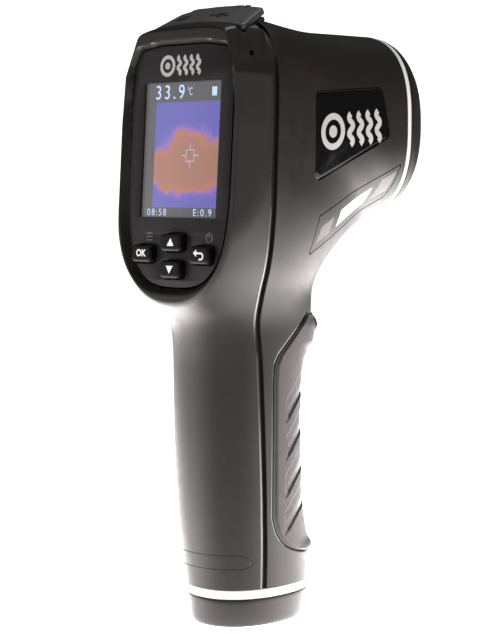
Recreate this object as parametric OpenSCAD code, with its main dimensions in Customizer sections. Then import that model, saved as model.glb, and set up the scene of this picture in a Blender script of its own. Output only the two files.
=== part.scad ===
// Pistol-grip thermal imaging camera with a spot thermometer.
// Origin: mouth of the tripod socket, on the underside of the base.
// +Z is up, +Y is forwards, the way the lens looks, and +X is the user's right.

/* [Body] */
// Widest part of the head, across X
head_w = 55.2; // [54:0.2:57]
// Thickness of the moulded shells
wall = 2.4; // [2:0.1:2.8]
// Width of the groove between the two shells
seam_gap = 1.4; // [0.6:0.1:1.6]
// Height at which the shells stand on the base ring
shell_foot_z = 11.8; // [11.4:0.1:12.2]
// Forward end of the shells, behind the nose ring
shell_nose_y = 45; // [44.6:0.1:45.2]

/* [Display] */
// Height of the middle of the display
display_z = 142.84; // [142.6:0.02:143]
// Place of the display glass, along Y
display_y = -28.9; // [-29.1:0.1:-28.7]
// Backward lean of the display, in degrees
display_tilt = 3.4; // [3:0.2:4]
// Width of the lit area
display_w = 31.7; // [31:0.1:32]
// Height of the lit area
display_h = 39.6; // [39:0.1:40]
// How far the frame stands proud of the display glass
lip_h = 2.5; // [2.2:0.1:2.7]
// Thickness of the overlay that surrounds the display
overlay_t = 0.8; // [0.6:0.1:1]

/* [Keys] */
// Width of one key
key_w = 8.4; // [8:0.1:8.8]
// Height of one key, up the overlay
key_h = 5.2; // [4.8:0.1:5.4]
// How far a key stands proud of the display glass
key_proud = 3; // [2.6:0.1:3.2]
// Travel of a key
key_travel = 0.6; // [0.4:0.1:0.6]

/* [Port flap] */
// Slope of the flap, in degrees
flap_slope = 25.6; // [24:0.2:27]
// Thickness of the flap
flap_t = 1.9; // [1.6:0.1:2]
// Radius of the flap's arch, across X
flap_arch_r = 100; // [90:5:120]
// Radius of the flap's hinge rod
flap_rod_r = 0.7; // [0.6:0.05:0.75]

/* [Trigger] */
// Width of the trigger
trigger_w = 15; // [14:0.5:15.5]
// Radius of the trigger's pin
trigger_pin_r = 1.25; // [1:0.05:1.4]
// Running clearance of the pins, on the radius
pin_fit = 0.05; // [0.03:0.01:0.08]

/* [Optics] */
// Radius of the spot thermometer's lens
spot_lens_r = 6.4; // [6:0.1:6.6]
// Radius of the imager's lens
imager_lens_r = 3.4; // [3:0.1:3.6]
// Distance of each laser from the middle, along X
laser_x = 10.2; // [10:0.1:10.4]

/* [Base and battery] */
// Depth of the tripod socket
socket_depth = 8; // [7.5:0.1:8.2]
// Wall radius of the tripod socket
socket_r = 2.6; // [2.55:0.05:2.65]
// Radius of the battery cell
cell_r = 9.1; // [9:0.05:9.2]
// Length of the battery cell
cell_l = 65; // [64:0.5:66]

/* [Hidden] */
fit = 0.15;
wide = 200;
width_k = head_w / 55.2;

// One row for each section of the body, from the foot of the handle to the nose:
// front point (y, z), rear point (y, z), half-width, share of the depth behind the middle,
// squareness of the front half and squareness of the rear half.
sections = [
    [20.6,   8.8, -20.6,   8.8, 15.4, 0.50, 2.2, 2.3],
    [21.7,  15.0, -21.6,  15.0, 16.2, 0.50, 2.2, 2.3],
    [16.2,  32.0, -23.8,  32.0, 17.0, 0.50, 2.2, 2.3],
    [14.7,  52.0, -24.6,  52.0, 17.2, 0.50, 2.2, 2.3],
    [14.4,  72.0, -24.8,  72.0, 17.3, 0.50, 2.2, 2.3],
    [18.4,  85.0, -25.5,  85.0, 17.6, 0.50, 2.2, 2.3],
    [20.0,  94.0, -28.4,  93.5, 18.0, 0.50, 2.2, 2.2],
    [20.6, 101.0, -40.4, 102.0, 20.1, 0.50, 2.1, 2.3],
    [22.4, 106.5, -46.5, 112.0, 23.6, 0.52, 2.1, 2.8],
    [26.4, 110.8, -47.0, 126.0, 26.0, 0.54, 2.1, 3.2],
    [31.4, 114.4, -46.5, 142.0, 27.3, 0.54, 2.1, 3.7],
    [36.4, 117.4, -45.5, 157.0, 27.6, 0.53, 2.1, 4.3],
    [40.6, 119.6, -42.0, 169.0, 27.7, 0.52, 2.1, 5.0],
    [43.6, 121.0, -33.0, 176.8, 27.6, 0.50, 2.2, 5.0],
    [45.4, 122.0, -18.0, 181.6, 27.4, 0.50, 2.3, 4.0],
    [46.2, 122.6,  -5.0, 181.4, 27.0, 0.50, 2.4, 3.1],
    [46.8, 123.1,  12.0, 179.8, 26.4, 0.50, 2.5, 2.9],
    [47.0, 123.4,  30.0, 180.0, 25.7, 0.50, 2.6, 2.8],
    [47.2, 123.6,  47.2, 180.2, 25.0, 0.50, 2.75, 2.75]];
last_section = len(sections) - 1;
ring_n = 40;
ring_steps = 46;

// The parting line of the two shells, seen from the side, as (y, z).
seam = [[-7.5, 0], [-10, 33], [-11.2, 60], [-12.3, 82], [-14.4, 98], [-16.3, 110],
        [-17.2, 120], [-17.8, 135], [-17.6, 150], [-16.6, 190]];

// Places of the keys on the overlay, as (x, z).
key_places = [[-12.4, 112.2], [0, 115.7], [0, 107.8], [11.9, 112.3]];

// The flap's hinge axis, in the flap's own sloping frame.
flap_y = -24;
flap_z = 178.4;
flap_hinge = [12.4, 0.3];

// The trigger's pin, as (y, z).
trigger_axis = [12.5, 97.5];

// Middle of the nose, and places of what looks out of it, as (x, z).
nose_z = 151.9;
imager_at = [0, 161.6];
spot_at = [0, 145];
plate_y = 50.5;

// ---- Shared geometry ----

function catmull(a, b, c, d, t) =
    b + 0.5 * t * (c - a + t * (2 * a - 5 * b + 4 * c - d + t * (3 * (b - c) + d - a)));

function section_at(t) =
    let (i = min(floor(t), last_section - 1))
    catmull(sections[max(i - 1, 0)], sections[i], sections[i + 1],
            sections[min(i + 2, last_section)], t - i);

function power(v, e) = sign(v) * pow(abs(v), e);

function body_ring(t, grow) =
    let (s = section_at(t), front = [s[0], s[1]], rear = [s[2], s[3]],
         along = (front - rear) / norm(front - rear),
         f = front + grow * along, r = rear - grow * along,
         middle = f + (r - f) * s[5], half_w = (s[4] + grow) * width_k)
    [for (k = [0 : ring_n - 1])
        let (a = 360 * k / ring_n, e = 2 / (sin(a) >= 0 ? s[6] : s[7]), q = power(sin(a), e),
             p = middle + (q >= 0 ? (f - middle) * q : (middle - r) * q))
        [half_w * power(cos(a), e), p[0], p[1]]];

// A closed solid through a list of rings that have the same number of points.
module loft(rings) {
    n = len(rings[0]);
    top = len(rings) - 1;
    sides = [for (i = [0 : top - 1], k = [0 : n - 1])
        each let (a = i * n + k, b = i * n + (k + 1) % n) [[a, a + n, b + n], [a, b + n, b]]];
    polyhedron([for (r = rings) each r],
               concat([[for (k = [0 : n - 1]) k]], sides, [[for (k = [n - 1 : -1 : 0]) top * n + k]]),
               convexity = 8);
}

// The body's whole outer form, grown outwards by a distance (or inwards, when negative).
module body_form(grow = 0) {
    loft([for (i = [0 : ring_steps]) body_ring(last_section * i / ring_steps, grow)]);
}

// A rounded outline: half-width, half-height above and below, and the squareness of each half.
function oval(w, up, down, p_up, p_down, n = 48) =
    [for (k = [0 : n - 1])
        let (a = 360 * k / n, high = sin(a) >= 0, e = 2 / (high ? p_up : p_down))
        [w * power(cos(a), e), (high ? up : down) * power(sin(a), e)]];

// A solid through upright ovals: each level is (height, half-width, half-depth, squareness).
module standing_ovals(levels) {
    loft([for (l = levels) [for (p = oval(l[1], l[2], l[2], l[3], l[3])) [p[0], p[1], l[0]]]]);
}

// The same, lying along Y around the middle of the nose.
module nose_ovals(levels) {
    translate([0, 0, nose_z]) rotate([90, 0, 180]) standing_ovals(levels);
}

// Extrudes a (y, z) outline across X.
module across(w) {
    rotate([90, 0, 90]) translate([0, 0, -w / 2]) linear_extrude(w) children();
}

// A frame on the display glass: X to the right, Y up the display, Z out of it.
module on_display(h = 0) {
    translate([0, display_y, display_z]) rotate([90 - display_tilt, 0, 0]) translate([0, 0, h]) children();
}

// A frame on the seat of the port flap: Y up the slope, Z out of it.
module on_flap(h = 0) {
    translate([0, flap_y, flap_z]) rotate([flap_slope, 0, 0]) translate([0, 0, h]) children();
}

// Turns a piece that stands along Z so that it lies along +Y, from a place (x, y, z).
module forwards(at) {
    translate(at) rotate([-90, 0, 0]) children();
}

module rounded_box(w, h, r, t) {
    linear_extrude(t) hull()
        for (x = [-1, 1], y = [-1, 1])
            translate([x * (w / 2 - r), y * (h / 2 - r)]) circle(r, $fn = 24);
}

module tube(r_out, r_in, l) {
    difference() {
        cylinder(l, r = r_out, $fn = 48);
        translate([0, 0, -1]) cylinder(l + 2, r = r_in, $fn = 48);
    }
}

// ---- Shells ----

module overlay_outline(grow = 0) {
    intersection() {
        translate([0, -4.6]) polygon(oval(21 + grow, 40 + grow, 35.6 + grow, 12, 3.1));
        offset(delta = grow) both_sides([[22, -60], [21, 15], [20.2, 25.2], [17.9, 29.4], [9, 30.6]]);
    }
}

module lip_outline(grow = 0) {
    offset(delta = grow) both_sides([[23.6, -100], [23.6, 8], [22.9, 22], [18.6, 32.8], [9, 34.2]]);
}

// An outline from the points of its right side, from the bottom up.
module both_sides(right) {
    polygon(concat(right, [for (i = [len(right) - 1 : -1 : 0]) [-right[i][0], right[i][1]]]));
}

// Everything behind a height above the display glass.
module behind_display(h) {
    on_display(h) translate([-wide / 2, -wide / 2, 0]) cube([wide, wide, 80]);
}

// The head tapers to the lip's outline over its last millimetres.
module lip_trim() {
    depth = 14.5;
    on_display(lip_h - depth) difference() {
        translate([-60, -90, 0]) cube([120, 150, 40]);
        hull() {
            translate([0, 0, -0.1]) linear_extrude(0.1) lip_outline(0.36 * depth);
            translate([0, 0, depth]) linear_extrude(1) lip_outline();
            translate([0, 0, depth]) linear_extrude(30) lip_outline(-0.36);
        }
    }
}

module shell_outside() {
    difference() {
        body_form();
        behind_display(lip_h);
        lip_trim();
        translate([-wide / 2, -wide / 2, -1]) cube([wide, wide, shell_foot_z + 1]);
        translate([-wide / 2, shell_nose_y, 0]) cube([wide, wide, wide]);
        flap_seat();
    }
}

module shell_inside() {
    difference() {
        body_form(-wall);
        behind_display(-2);
        on_flap(-6.6) translate([-18.6, -1, 0]) cube([37.2, 15, 12]);
    }
}

module seam_side(shift, rear) {
    side = rear ? -80 : 80;
    across(wide) polygon(concat([for (p = seam) [p[0] + shift, p[1]]], [[side, 190], [side, 0]]));
}

module key_holes(grow, low, high) {
    for (k = key_places)
        on_display(low) translate([k[0], k[1] - display_z, 0])
            rounded_box(key_w + 2 * grow, key_h + 2 * grow, 1.5, high - low);
}

module display_hole(grow, low, high) {
    on_display(low) translate([-display_w / 2 - grow, -display_h / 2 - grow, 0])
        cube([display_w + 2 * grow, display_h + 2 * grow, high - low]);
}

module port_hole(grow = 0) {
    on_flap(-7) translate([-16 - grow, 1.4 - grow, 0]) cube([32 + 2 * grow, 8.6 + 2 * grow, 12]);
}

module rear_shell() {
    color([0.07, 0.068, 0.07]) resize([0, 0, 0]) difference() {
        intersection() {
            difference() {
                shell_outside();
                shell_inside();
            }
            seam_side(-seam_gap / 2, true);
        }
        on_display(0) linear_extrude(10) overlay_outline(0.25);
        display_hole(1.25, -4, 1);
        key_holes(0.3, -4, 1);
        port_hole(fit);
        handle_inlay_form(0.05);
    }
}

module front_shell() {
    color([0.075, 0.072, 0.073]) resize([0, 0, 0]) difference() {
        union() {
            intersection() {
                difference() {
                    shell_outside();
                    shell_inside();
                }
                seam_side(seam_gap / 2, false);
            }
            trigger_bosses();
        }
        port_hole(fit);
        rod_ears(fit);
        badge_recess(1);
        badge_recess(-1);
        label_recess();
        grip_recess();
        trigger_opening();
        trigger_pin_form(10.6, 0.08);
    }
}

module shell_seal() {
    color([0.02, 0.02, 0.02]) resize([0, 0, 0]) difference() {
        intersection() {
            difference() {
                body_form(-0.5);
                body_form(-wall + 0.2);
            }
            difference() {
                seam_side(-seam_gap / 2, false);
                seam_side(seam_gap / 2, false);
            }
        }
        translate([-wide / 2, -wide / 2, -1]) cube([wide, wide, shell_foot_z + 1]);
        port_hole(fit);
        on_flap(-0.5) translate([-40, -10, -1]) cube([80, 60, 20]);
    }
}

// ---- Side badges, label and handle inlay ----

module badge_outline(grow = 0) {
    offset(r = 2 + grow, $fn = 24) offset(delta = -2)
        polygon([[-1, 160.3], [32, 162.9], [35.3, 147.6], [-1, 133.1]]);
}

module skin_patch(outer, inner, side, low_x = 5) {
    intersection() {
        difference() {
            body_form(outer);
            body_form(inner);
        }
        translate([side * (low_x + 50), 0, 0]) across(100) children();
    }
}

module badge_recess(side) {
    difference() {
        translate([side * 60, 0, 0]) across(100) badge_outline();
        body_form(-1.3);
    }
}

module badge(side) {
    color([0.01, 0.01, 0.012]) resize([0, 0, 0])
        skin_patch(-0.45, -1.25, side, 10) badge_outline(-0.1);
}

module side_badge_left() {
    badge(-1);
}

module side_badge_right() {
    badge(1);
}

module label_outline(grow = 0) {
    offset(delta = grow) polygon([[3, 123.7], [43, 139.8], [40, 128.9], [1, 111.8]]);
}

module label_recess() {
    difference() {
        translate([60, 0, 0]) across(100) label_outline();
        body_form(-0.45);
    }
}

module spec_label() {
    color([0.13, 0.125, 0.125]) resize([0, 0, 0]) skin_patch(-0.1, -0.4, 1, 10) label_outline(-0.1);
}

module handle_inlay_form(grow = 0) {
    intersection() {
        difference() {
            body_form(1);
            body_form(-0.8 - grow);
        }
        translate([0, -9, 20.5]) rotate([90, 0, 0]) hull()
            for (x = [-12.2, 12.2])
                translate([x, 0, 0]) cylinder(20, r = 2.3 + grow, $fn = 32);
    }
}

module handle_inlay() {
    color([0.12, 0.11, 0.11]) resize([0, 0, 0]) intersection() {
        handle_inlay_form(-0.1);
        body_form(-0.1);
    }
}

// ---- Display and keys ----

module display_overlay() {
    color([0.09, 0.085, 0.085]) difference() {
        on_display(0.02) linear_extrude(overlay_t) overlay_outline();
        display_hole(0, -1, 3);
        key_holes(0.25, -1, 3);
    }
}

module lcd_glass() {
    color([0.42, 0.4, 0.72]) display_hole(1.1, -1.7, -0.02);
}

module lcd_carrier() {
    color([0.6, 0.61, 0.62]) on_display(-4.6) rounded_box(36.4, 45, 1, 2.4);
}

module keypad_mat() {
    color([0.35, 0.35, 0.36]) on_display(-5) translate([0, 111.6 - display_z, 0]) {
        rounded_box(34, 15.4, 2, 0.9);
        for (k = key_places)
            translate([k[0], k[1] - 111.6, 0.9]) cylinder(0.2, r = 1.6, $fn = 32);
    }
}

module key(place) {
    color([0.03, 0.03, 0.032]) on_display(0) translate([place[0], place[1] - display_z, 0]) {
        translate([0, 0, -3.1]) rounded_box(key_w + 1.2, key_h + 1.2, 1.6, 1.05);
        translate([0, 0, -2.1]) rounded_box(key_w, key_h, 1.3, key_proud + 2.1);
    }
}

module ok_key() {
    key(key_places[0]);
}

module up_key() {
    key(key_places[1]);
}

module down_key() {
    key(key_places[2]);
}

module back_key() {
    key(key_places[3]);
}

// ---- Electronics in the head ----

module board_screw_places() {
    for (x = [-15.5, 15.5], v = [-19, 22])
        translate([x, v, 0]) children();
}

module main_board() {
    color([0.05, 0.28, 0.14]) on_display(-7.4) difference() {
        translate([0, -4, 0]) rounded_box(36, 58, 2, 1.6);
        board_screw_places() translate([0, 0, -1]) cylinder(4, r = 1.3, $fn = 32);
    }
}

module board_parts() {
    color([0.06, 0.06, 0.065]) on_display(-9.2) {
        translate([-17, 3, 0]) cube([11, 14, 1.79]);
        translate([8, -8, 0]) cube([7, 9, 1.79]);
        translate([-14, -14, 0]) cube([8, 6, 1.79]);
        translate([-6, -30, 0]) cube([12, 5, 1.79]);
    }
}

module board_screws() {
    color([0.7, 0.7, 0.72]) on_display(-8.45) board_screw_places() {
        cylinder(1, r = 2, $fn = 32);
        cylinder(3.8, r = 1.15, $fn = 32);
    }
}

module sensor_board() {
    color([0.05, 0.28, 0.14]) forwards([0, 24, nose_z]) difference() {
        rounded_box(34, 42, 3, 1.6);
        for (x = [-13, 13], y = [-17, 17])
            translate([x, y, -1]) cylinder(4, r = 1.3, $fn = 32);
    }
}

module ribbon_cable() {
    route = [[-20.2, 157.4], [-13, 159.4], [-4, 157.2], [6, 159.4], [15, 157.4], [23.9, 158]];
    color([0.75, 0.45, 0.12]) across(10)
        polygon(concat(route, [for (i = [len(route) - 1 : -1 : 0]) route[i] + [0, 0.35]]));
}

// ---- Ports and flap ----

module port_tray() {
    color([0.02, 0.02, 0.02]) on_flap(-5) difference() {
        translate([-16, 1.4, 0]) cube([32, 8.6, 3.6]);
        translate([6.4 - 3.9, 4.2, -1]) cube([7.8, 3, 6]);
        translate([-8.7 - 5.8, 4.9, -1]) cube([11.6, 1.5, 6]);
    }
}

module usb_socket() {
    color([0.72, 0.73, 0.75]) on_flap(-10.2) difference() {
        translate([6.4 - 3.8, 4.3, 0]) cube([7.6, 2.8, 7.4]);
        translate([6.4 - 3.5, 4.6, 1.4]) cube([7, 2.2, 7]);
    }
}

module card_socket() {
    color([0.68, 0.69, 0.7]) on_flap(-17.2) difference() {
        translate([-8.7 - 6.6, 4.3, 0]) cube([13.2, 2.8, 12]);
        translate([-8.7 - 5.7, 4.95, 1.5]) cube([11.4, 1.4, 12]);
    }
}

module flap_plan(grow = 0) {
    offset(r = 1.2 + grow, $fn = 24) offset(delta = -1.2)
        polygon([[-19.9, 0], [19.9, 0], [17.2, 13.2], [-17.2, 13.2]]);
}

module flap_arch(h) {
    translate([0, 20, h - flap_arch_r]) rotate([90, 0, 0]) cylinder(40, r = flap_arch_r, $fn = 200);
}

// What the shells give up to seat the flap.
module flap_seat() {
    on_flap() {
        difference() {
            translate([0, 0, -4]) linear_extrude(16) flap_plan(0.35);
            flap_arch(-0.2);
        }
        translate([-18, flap_hinge[0], flap_hinge[1]]) rotate([0, 90, 0]) cylinder(36, r = 2.3, $fn = 32);
    }
}

module port_flap() {
    color([0.06, 0.06, 0.062]) on_flap() difference() {
        union() {
            difference() {
                intersection() {
                    translate([0, 0, -4]) linear_extrude(16) flap_plan();
                    flap_arch(flap_t);
                }
                flap_arch(0);
                for (side = [-1, 1])
                    translate([side * 10.8 - 1.3, flap_hinge[0] - 1.9, -5]) cube([2.6, 8, 10]);
            }
            translate([-9.4, flap_hinge[0], flap_hinge[1]]) rotate([0, 90, 0])
                cylinder(18.8, r = 1.5, $fn = 48);
            translate([2.6, 4.3, -1.1]) cube([7.4, 2.6, 1.4]);
            translate([-14.2, 5, -1.1]) cube([11, 1.2, 1.2]);
        }
        translate([-20, flap_hinge[0], flap_hinge[1]]) rotate([0, 90, 0])
            cylinder(40, r = flap_rod_r + pin_fit, $fn = 48);
    }
}

module rod_ears(grow) {
    on_flap()
        for (side = [-1, 1])
            translate([side * 10.8 - 1 - grow, flap_hinge[0] - 1.2 - grow, flap_hinge[1] - 4.4])
                cube([2 + 2 * grow, 2.4 + 2 * grow, 5.4]);
}

module flap_rod() {
    color([0.05, 0.05, 0.05]) {
        rod_ears(0);
        on_flap() translate([-11.8, flap_hinge[0], flap_hinge[1]]) rotate([0, 90, 0])
            cylinder(23.6, r = flap_rod_r, $fn = 48);
    }
}

// ---- Nose ----

module nose_ring() {
    color([0.86, 0.86, 0.87]) resize([0, 0, 0]) difference() {
        nose_ovals([[shell_nose_y, 25, 28.35, 2.75], [47.2, 24.9, 28.2, 2.75]]);
        nose_ovals([[shell_nose_y - 1, 21.6, 24.9, 2.75], [49, 21.6, 24.9, 2.75]]);
    }
}

module nose_bezel() {
    color([0.045, 0.045, 0.047]) resize([0, 0, 0]) difference() {
        union() {
            nose_ovals([[47.2, 25, 28.2, 2.75], [50, 24.5, 27.6, 2.7], [53, 23.4, 26.4, 2.6],
                        [56, 21.6, 24.4, 2.5], [58.8, 19.2, 21.8, 2.4], [60.5, 16.9, 19.4, 2.3]]);
            nose_ovals([[41, 21.5, 24.8, 2.75], [47.4, 21.5, 24.8, 2.75]]);
        }
        nose_ovals([[plate_y + 2.2, 14.2, 16.7, 2.3], [61, 15.9, 18.4, 2.3]]);
        nose_ovals([[plate_y - 0.15, 14.8, 17.3, 2.3], [plate_y + 2.25, 14.8, 17.3, 2.3]]);
        nose_ovals([[40, 18.5, 21.5, 2.5], [plate_y - 0.1, 14.2, 16.7, 2.3]]);
    }
}

module nose_holes(extra, low, high) {
    forwards([imager_at[0], low, imager_at[1]]) cylinder(high - low, r = 5.1 + extra, $fn = 48);
    forwards([spot_at[0], low, spot_at[1]]) cylinder(high - low, r = 8.1 + extra, $fn = 48);
    for (x = [-laser_x, laser_x])
        forwards([x, low, nose_z + 2.6]) cylinder(high - low, r = 2.1 + extra, $fn = 48);
}

module front_plate() {
    color([0.035, 0.035, 0.037]) difference() {
        nose_ovals([[plate_y, 14.6, 17.1, 2.3], [plate_y + 2, 14.6, 17.1, 2.3]]);
        nose_holes(fit, plate_y - 1, plate_y + 4);
    }
}

module imager_lens() {
    color([0.22, 0.2, 0.24]) forwards([imager_at[0], 50.6, imager_at[1]]) intersection() {
        cylinder(2, r = imager_lens_r, $fn = 48);
        translate([0, 0, -6.6]) sphere(8.2, $fn = 64);
    }
}

module imager_barrel() {
    color([0.03, 0.03, 0.03]) forwards([imager_at[0], 38.2, imager_at[1]]) difference() {
        cylinder(15.2, r = 5.1, $fn = 48);
        translate([0, 0, -1]) cylinder(20, r = 2.8, $fn = 48);
        translate([0, 0, 12.3]) cylinder(4, r = imager_lens_r + 0.05, $fn = 48);
    }
}

module imager_core() {
    color([0.15, 0.15, 0.16]) translate([-6, 25.7, imager_at[1] - 6]) cube([12, 12.4, 12]);
}

module spot_lens() {
    crown = asin(spot_lens_r / 15);
    color([0.85, 0.86, 0.88, 0.6]) forwards([spot_at[0], 49.2, spot_at[1]]) rotate_extrude($fn = 96)
        polygon(concat([[0, 0], [spot_lens_r, 0]],
            [for (i = [8 : -1 : 1]) [15 * sin(crown * i / 8), 15 * cos(crown * i / 8) - 13.2]], [[0, 1.8]]));
}

module spot_tube() {
    color([0.05, 0.05, 0.05]) forwards([spot_at[0], 31.5, spot_at[1]]) difference() {
        cylinder(21.7, r = 8.1, $fn = 48);
        translate([0, 0, 2]) cylinder(30, r = 5.8, $fn = 48);
        translate([0, 0, -1]) cylinder(10, r = 4.7, $fn = 48);
        translate([0, 0, 17.6]) cylinder(6, r = spot_lens_r + 0.05, $fn = 48);
    }
}

module spot_sensor() {
    color([0.75, 0.74, 0.7]) forwards([spot_at[0], 25.7, spot_at[1]]) {
        cylinder(5.6, r = 4.6, $fn = 48);
        cylinder(8.5, r = 4.1, $fn = 48);
    }
}

module laser(side) {
    color([0.72, 0.58, 0.28]) forwards([side * laser_x, 38, nose_z + 2.6]) difference() {
        cylinder(14.2, r = 2.1, $fn = 48);
        translate([0, 0, 13]) cylinder(3, r = 1.3, $fn = 48);
    }
}

module laser_left() {
    laser(-1);
}

module laser_right() {
    laser(1);
}

// ---- Grip and trigger ----

module grip_outline(grow = 0) {
    offset(delta = grow) polygon([[10, 94.5], [-0.8, 86], [-5, 82.2], [-7, 76], [-6.8, 40],
                                  [-6.6, 33], [-5.2, 29], [-1.2, 24.8], [5, 22.4], [12.5, 21],
                                  [40, 21], [40, 94.5]]);
}

module grip_recess() {
    difference() {
        across(wide) grip_outline();
        body_form(-1.1);
    }
}

module trigger_opening() {
    across(trigger_w + 1) polygon([[7, 79.2], [40, 79.2], [40, 97.8], [16, 100.4], [7, 100.4]]);
}

module grip_rubber() {
    color([0.16, 0.15, 0.15]) resize([0, 0, 0]) difference() {
        intersection() {
            difference() {
                body_form(0.9);
                body_form(-1.05);
            }
            across(wide) grip_outline(-0.1);
        }
        trigger_opening();
        for (i = [0 : 3])
            translate([0, 16.4, 37 + 11.4 * i]) rotate([-28, 0, 0]) cube([60, 5, 0.9], center = true);
    }
}

module trigger() {
    ay = trigger_axis[0];
    az = trigger_axis[1];
    color([0.05, 0.05, 0.052]) difference() {
        union() {
            across(trigger_w) difference() {
                offset(r = 1, $fn = 24) offset(delta = -1) polygon([
                    [ay - 2.2, az - 1], [ay + 4.6, az - 0.4], [ay + 7, az - 3.4], [27.2, az - 7.8],
                    [27, az - 10.4], [20.6, az - 16.3], [ay - 2.6, az - 15]]);
                translate([28.2, az - 0.6]) circle(6.8, $fn = 96);
            }
            translate([-trigger_w / 2, ay, az]) rotate([0, 90, 0]) cylinder(trigger_w, r = 2.6, $fn = 48);
        }
        translate([-trigger_w, ay, az]) rotate([0, 90, 0])
            cylinder(2 * trigger_w, r = trigger_pin_r + pin_fit, $fn = 48);
    }
}

module trigger_pin() {
    color([0.75, 0.76, 0.78]) trigger_pin_form(10.4, 0);
}

module trigger_pin_form(half, grow) {
    translate([-half, trigger_axis[0], trigger_axis[1]]) rotate([0, 90, 0])
        cylinder(2 * half, r = trigger_pin_r + grow, $fn = 48);
}

// The bosses of the front shell that hold the trigger's pin.
module trigger_bosses() {
    intersection() {
        body_form(-0.6);
        for (side = [-1, 1])
            translate([side * 11.5, trigger_axis[0], trigger_axis[1]]) rotate([0, 90, 0])
                cylinder(6, r = 3.4, center = true, $fn = 32);
    }
}

module trigger_spring() {
    turns = 4;
    color([0.78, 0.79, 0.8]) forwards([0, 5.4, 86.2])
        for (i = [0 : turns - 1])
            translate([0, 0, 0.3 + i * 1.1]) rotate_extrude($fn = 32) translate([2, 0]) circle(0.28, $fn = 16);
}

module trigger_switch() {
    color([0.08, 0.08, 0.09]) {
        translate([-4, -0.6, 84.6]) cube([8, 5.8, 9]);
        translate([-1.2, 5.1, 90.4]) cube([2.4, 3.4, 2]);
    }
}

// ---- Battery and base ----

module battery_cell() {
    color([0.15, 0.3, 0.55]) translate([0, -5, 16.2]) {
        cylinder(cell_l, r = cell_r, $fn = 64);
        translate([0, 0, cell_l - 0.01]) cylinder(1.2, r = 3, $fn = 48);
    }
}

module battery_cradle() {
    color([0.1, 0.1, 0.1]) difference() {
        translate([0, -5, 13]) cylinder(cell_l - 6, r = cell_r + 1.5, $fn = 64);
        translate([0, -5, 16]) cylinder(cell_l, r = cell_r + 0.15, $fn = 64);
        translate([-20, -1, 18]) cube([40, 20, cell_l]);
    }
}

module base_ring() {
    color([0.87, 0.87, 0.88]) difference() {
        standing_ovals([[8.8, 15.2, 20.4, 2.25], [shell_foot_z, 15.55, 20.75, 2.25]]);
        translate([0, 0, -1]) cylinder(20, r = 5.2, $fn = 48);
        base_screw_places() cylinder(20, r = 1.35, $fn = 32);
    }
}

module base_screw_places() {
    for (y = [-14.5, 14.5])
        translate([0, y, 0]) children();
}

module base_cap() {
    color([0.05, 0.05, 0.052]) difference() {
        standing_ovals([[0, 13.2, 18.4, 2.2], [0.8, 14.1, 19.3, 2.2], [2.4, 14.7, 19.9, 2.2],
                        [8.8, 15.3, 20.5, 2.25]]);
        translate([0, 0, -1]) cylinder(20, r = 5.1, $fn = 48);
        base_screw_places() {
            translate([0, 0, -1]) cylinder(3.4, r = 2.7, $fn = 32);
            cylinder(20, r = 1.5, $fn = 32);
        }
    }
}

module base_screws() {
    color([0.7, 0.7, 0.72]) base_screw_places() difference() {
        union() {
            translate([0, 0, 0.6]) cylinder(1.78, r = 2.5, $fn = 32);
            translate([0, 0, 2]) cylinder(9.4, r = 1.3, $fn = 32);
        }
        cylinder(1.6, r = 1.1, $fn = 6);
    }
}

module tripod_insert() {
    color([0.78, 0.62, 0.3]) difference() {
        cylinder(9.4, r = 5, $fn = 64);
        translate([0, 0, -1]) cylinder(socket_depth + 1, r = socket_r, $fn = 64);
    }
}

rear_shell();
front_shell();
shell_seal();
display_overlay();
lcd_glass();
lcd_carrier();
keypad_mat();
ok_key();
up_key();
down_key();
back_key();
main_board();
board_parts();
board_screws();
port_tray();
usb_socket();
card_socket();
port_flap();
flap_rod();
nose_ring();
nose_bezel();
front_plate();
imager_lens();
imager_barrel();
imager_core();
spot_lens();
spot_tube();
spot_sensor();
laser_left();
laser_right();
sensor_board();
ribbon_cable();
side_badge_left();
side_badge_right();
spec_label();
handle_inlay();
grip_rubber();
trigger();
trigger_pin();
trigger_spring();
trigger_switch();
battery_cell();
battery_cradle();
base_ring();
base_cap();
base_screws();
tripod_insert();
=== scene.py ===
"""Looks of the thermal imaging camera, built round its CAD frame.

Lengths in this script are millimetres, in the CAD part's frame (+Z up, +Y forwards, +X the user's right).
They become metres only where a mesh, a light or the camera is made, through MM.
"""

import math

import bmesh
import bpy
import numpy as np
from mathutils import Matrix, Vector
from mathutils.bvhtree import BVHTree
from mathutils.kdtree import KDTree


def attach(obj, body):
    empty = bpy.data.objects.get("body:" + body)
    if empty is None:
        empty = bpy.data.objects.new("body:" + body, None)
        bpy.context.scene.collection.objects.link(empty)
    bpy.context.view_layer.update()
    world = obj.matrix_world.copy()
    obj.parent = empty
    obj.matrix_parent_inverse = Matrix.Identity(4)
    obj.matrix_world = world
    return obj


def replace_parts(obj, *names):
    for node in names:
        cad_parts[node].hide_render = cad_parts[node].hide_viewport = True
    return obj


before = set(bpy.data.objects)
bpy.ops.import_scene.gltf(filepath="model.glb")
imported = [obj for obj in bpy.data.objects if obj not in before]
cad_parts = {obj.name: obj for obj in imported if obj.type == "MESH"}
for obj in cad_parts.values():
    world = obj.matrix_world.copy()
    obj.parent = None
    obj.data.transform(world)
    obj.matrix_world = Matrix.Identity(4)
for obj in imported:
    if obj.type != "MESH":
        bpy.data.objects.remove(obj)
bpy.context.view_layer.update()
MM = 0.001

# ---- Driving values, as in the CAD part ----

WALL = 2.4
SEAM_GAP = 1.4
FOOT_Z = 11.8
NOSE_Y = 45.0
DISPLAY_AT = np.array([0.0, -28.9, 142.84])
DISPLAY_TILT = 3.4
DISPLAY_SIZE = (31.7, 39.6)
LIP_H = 2.5
OVERLAY_V = -4.6
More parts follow.
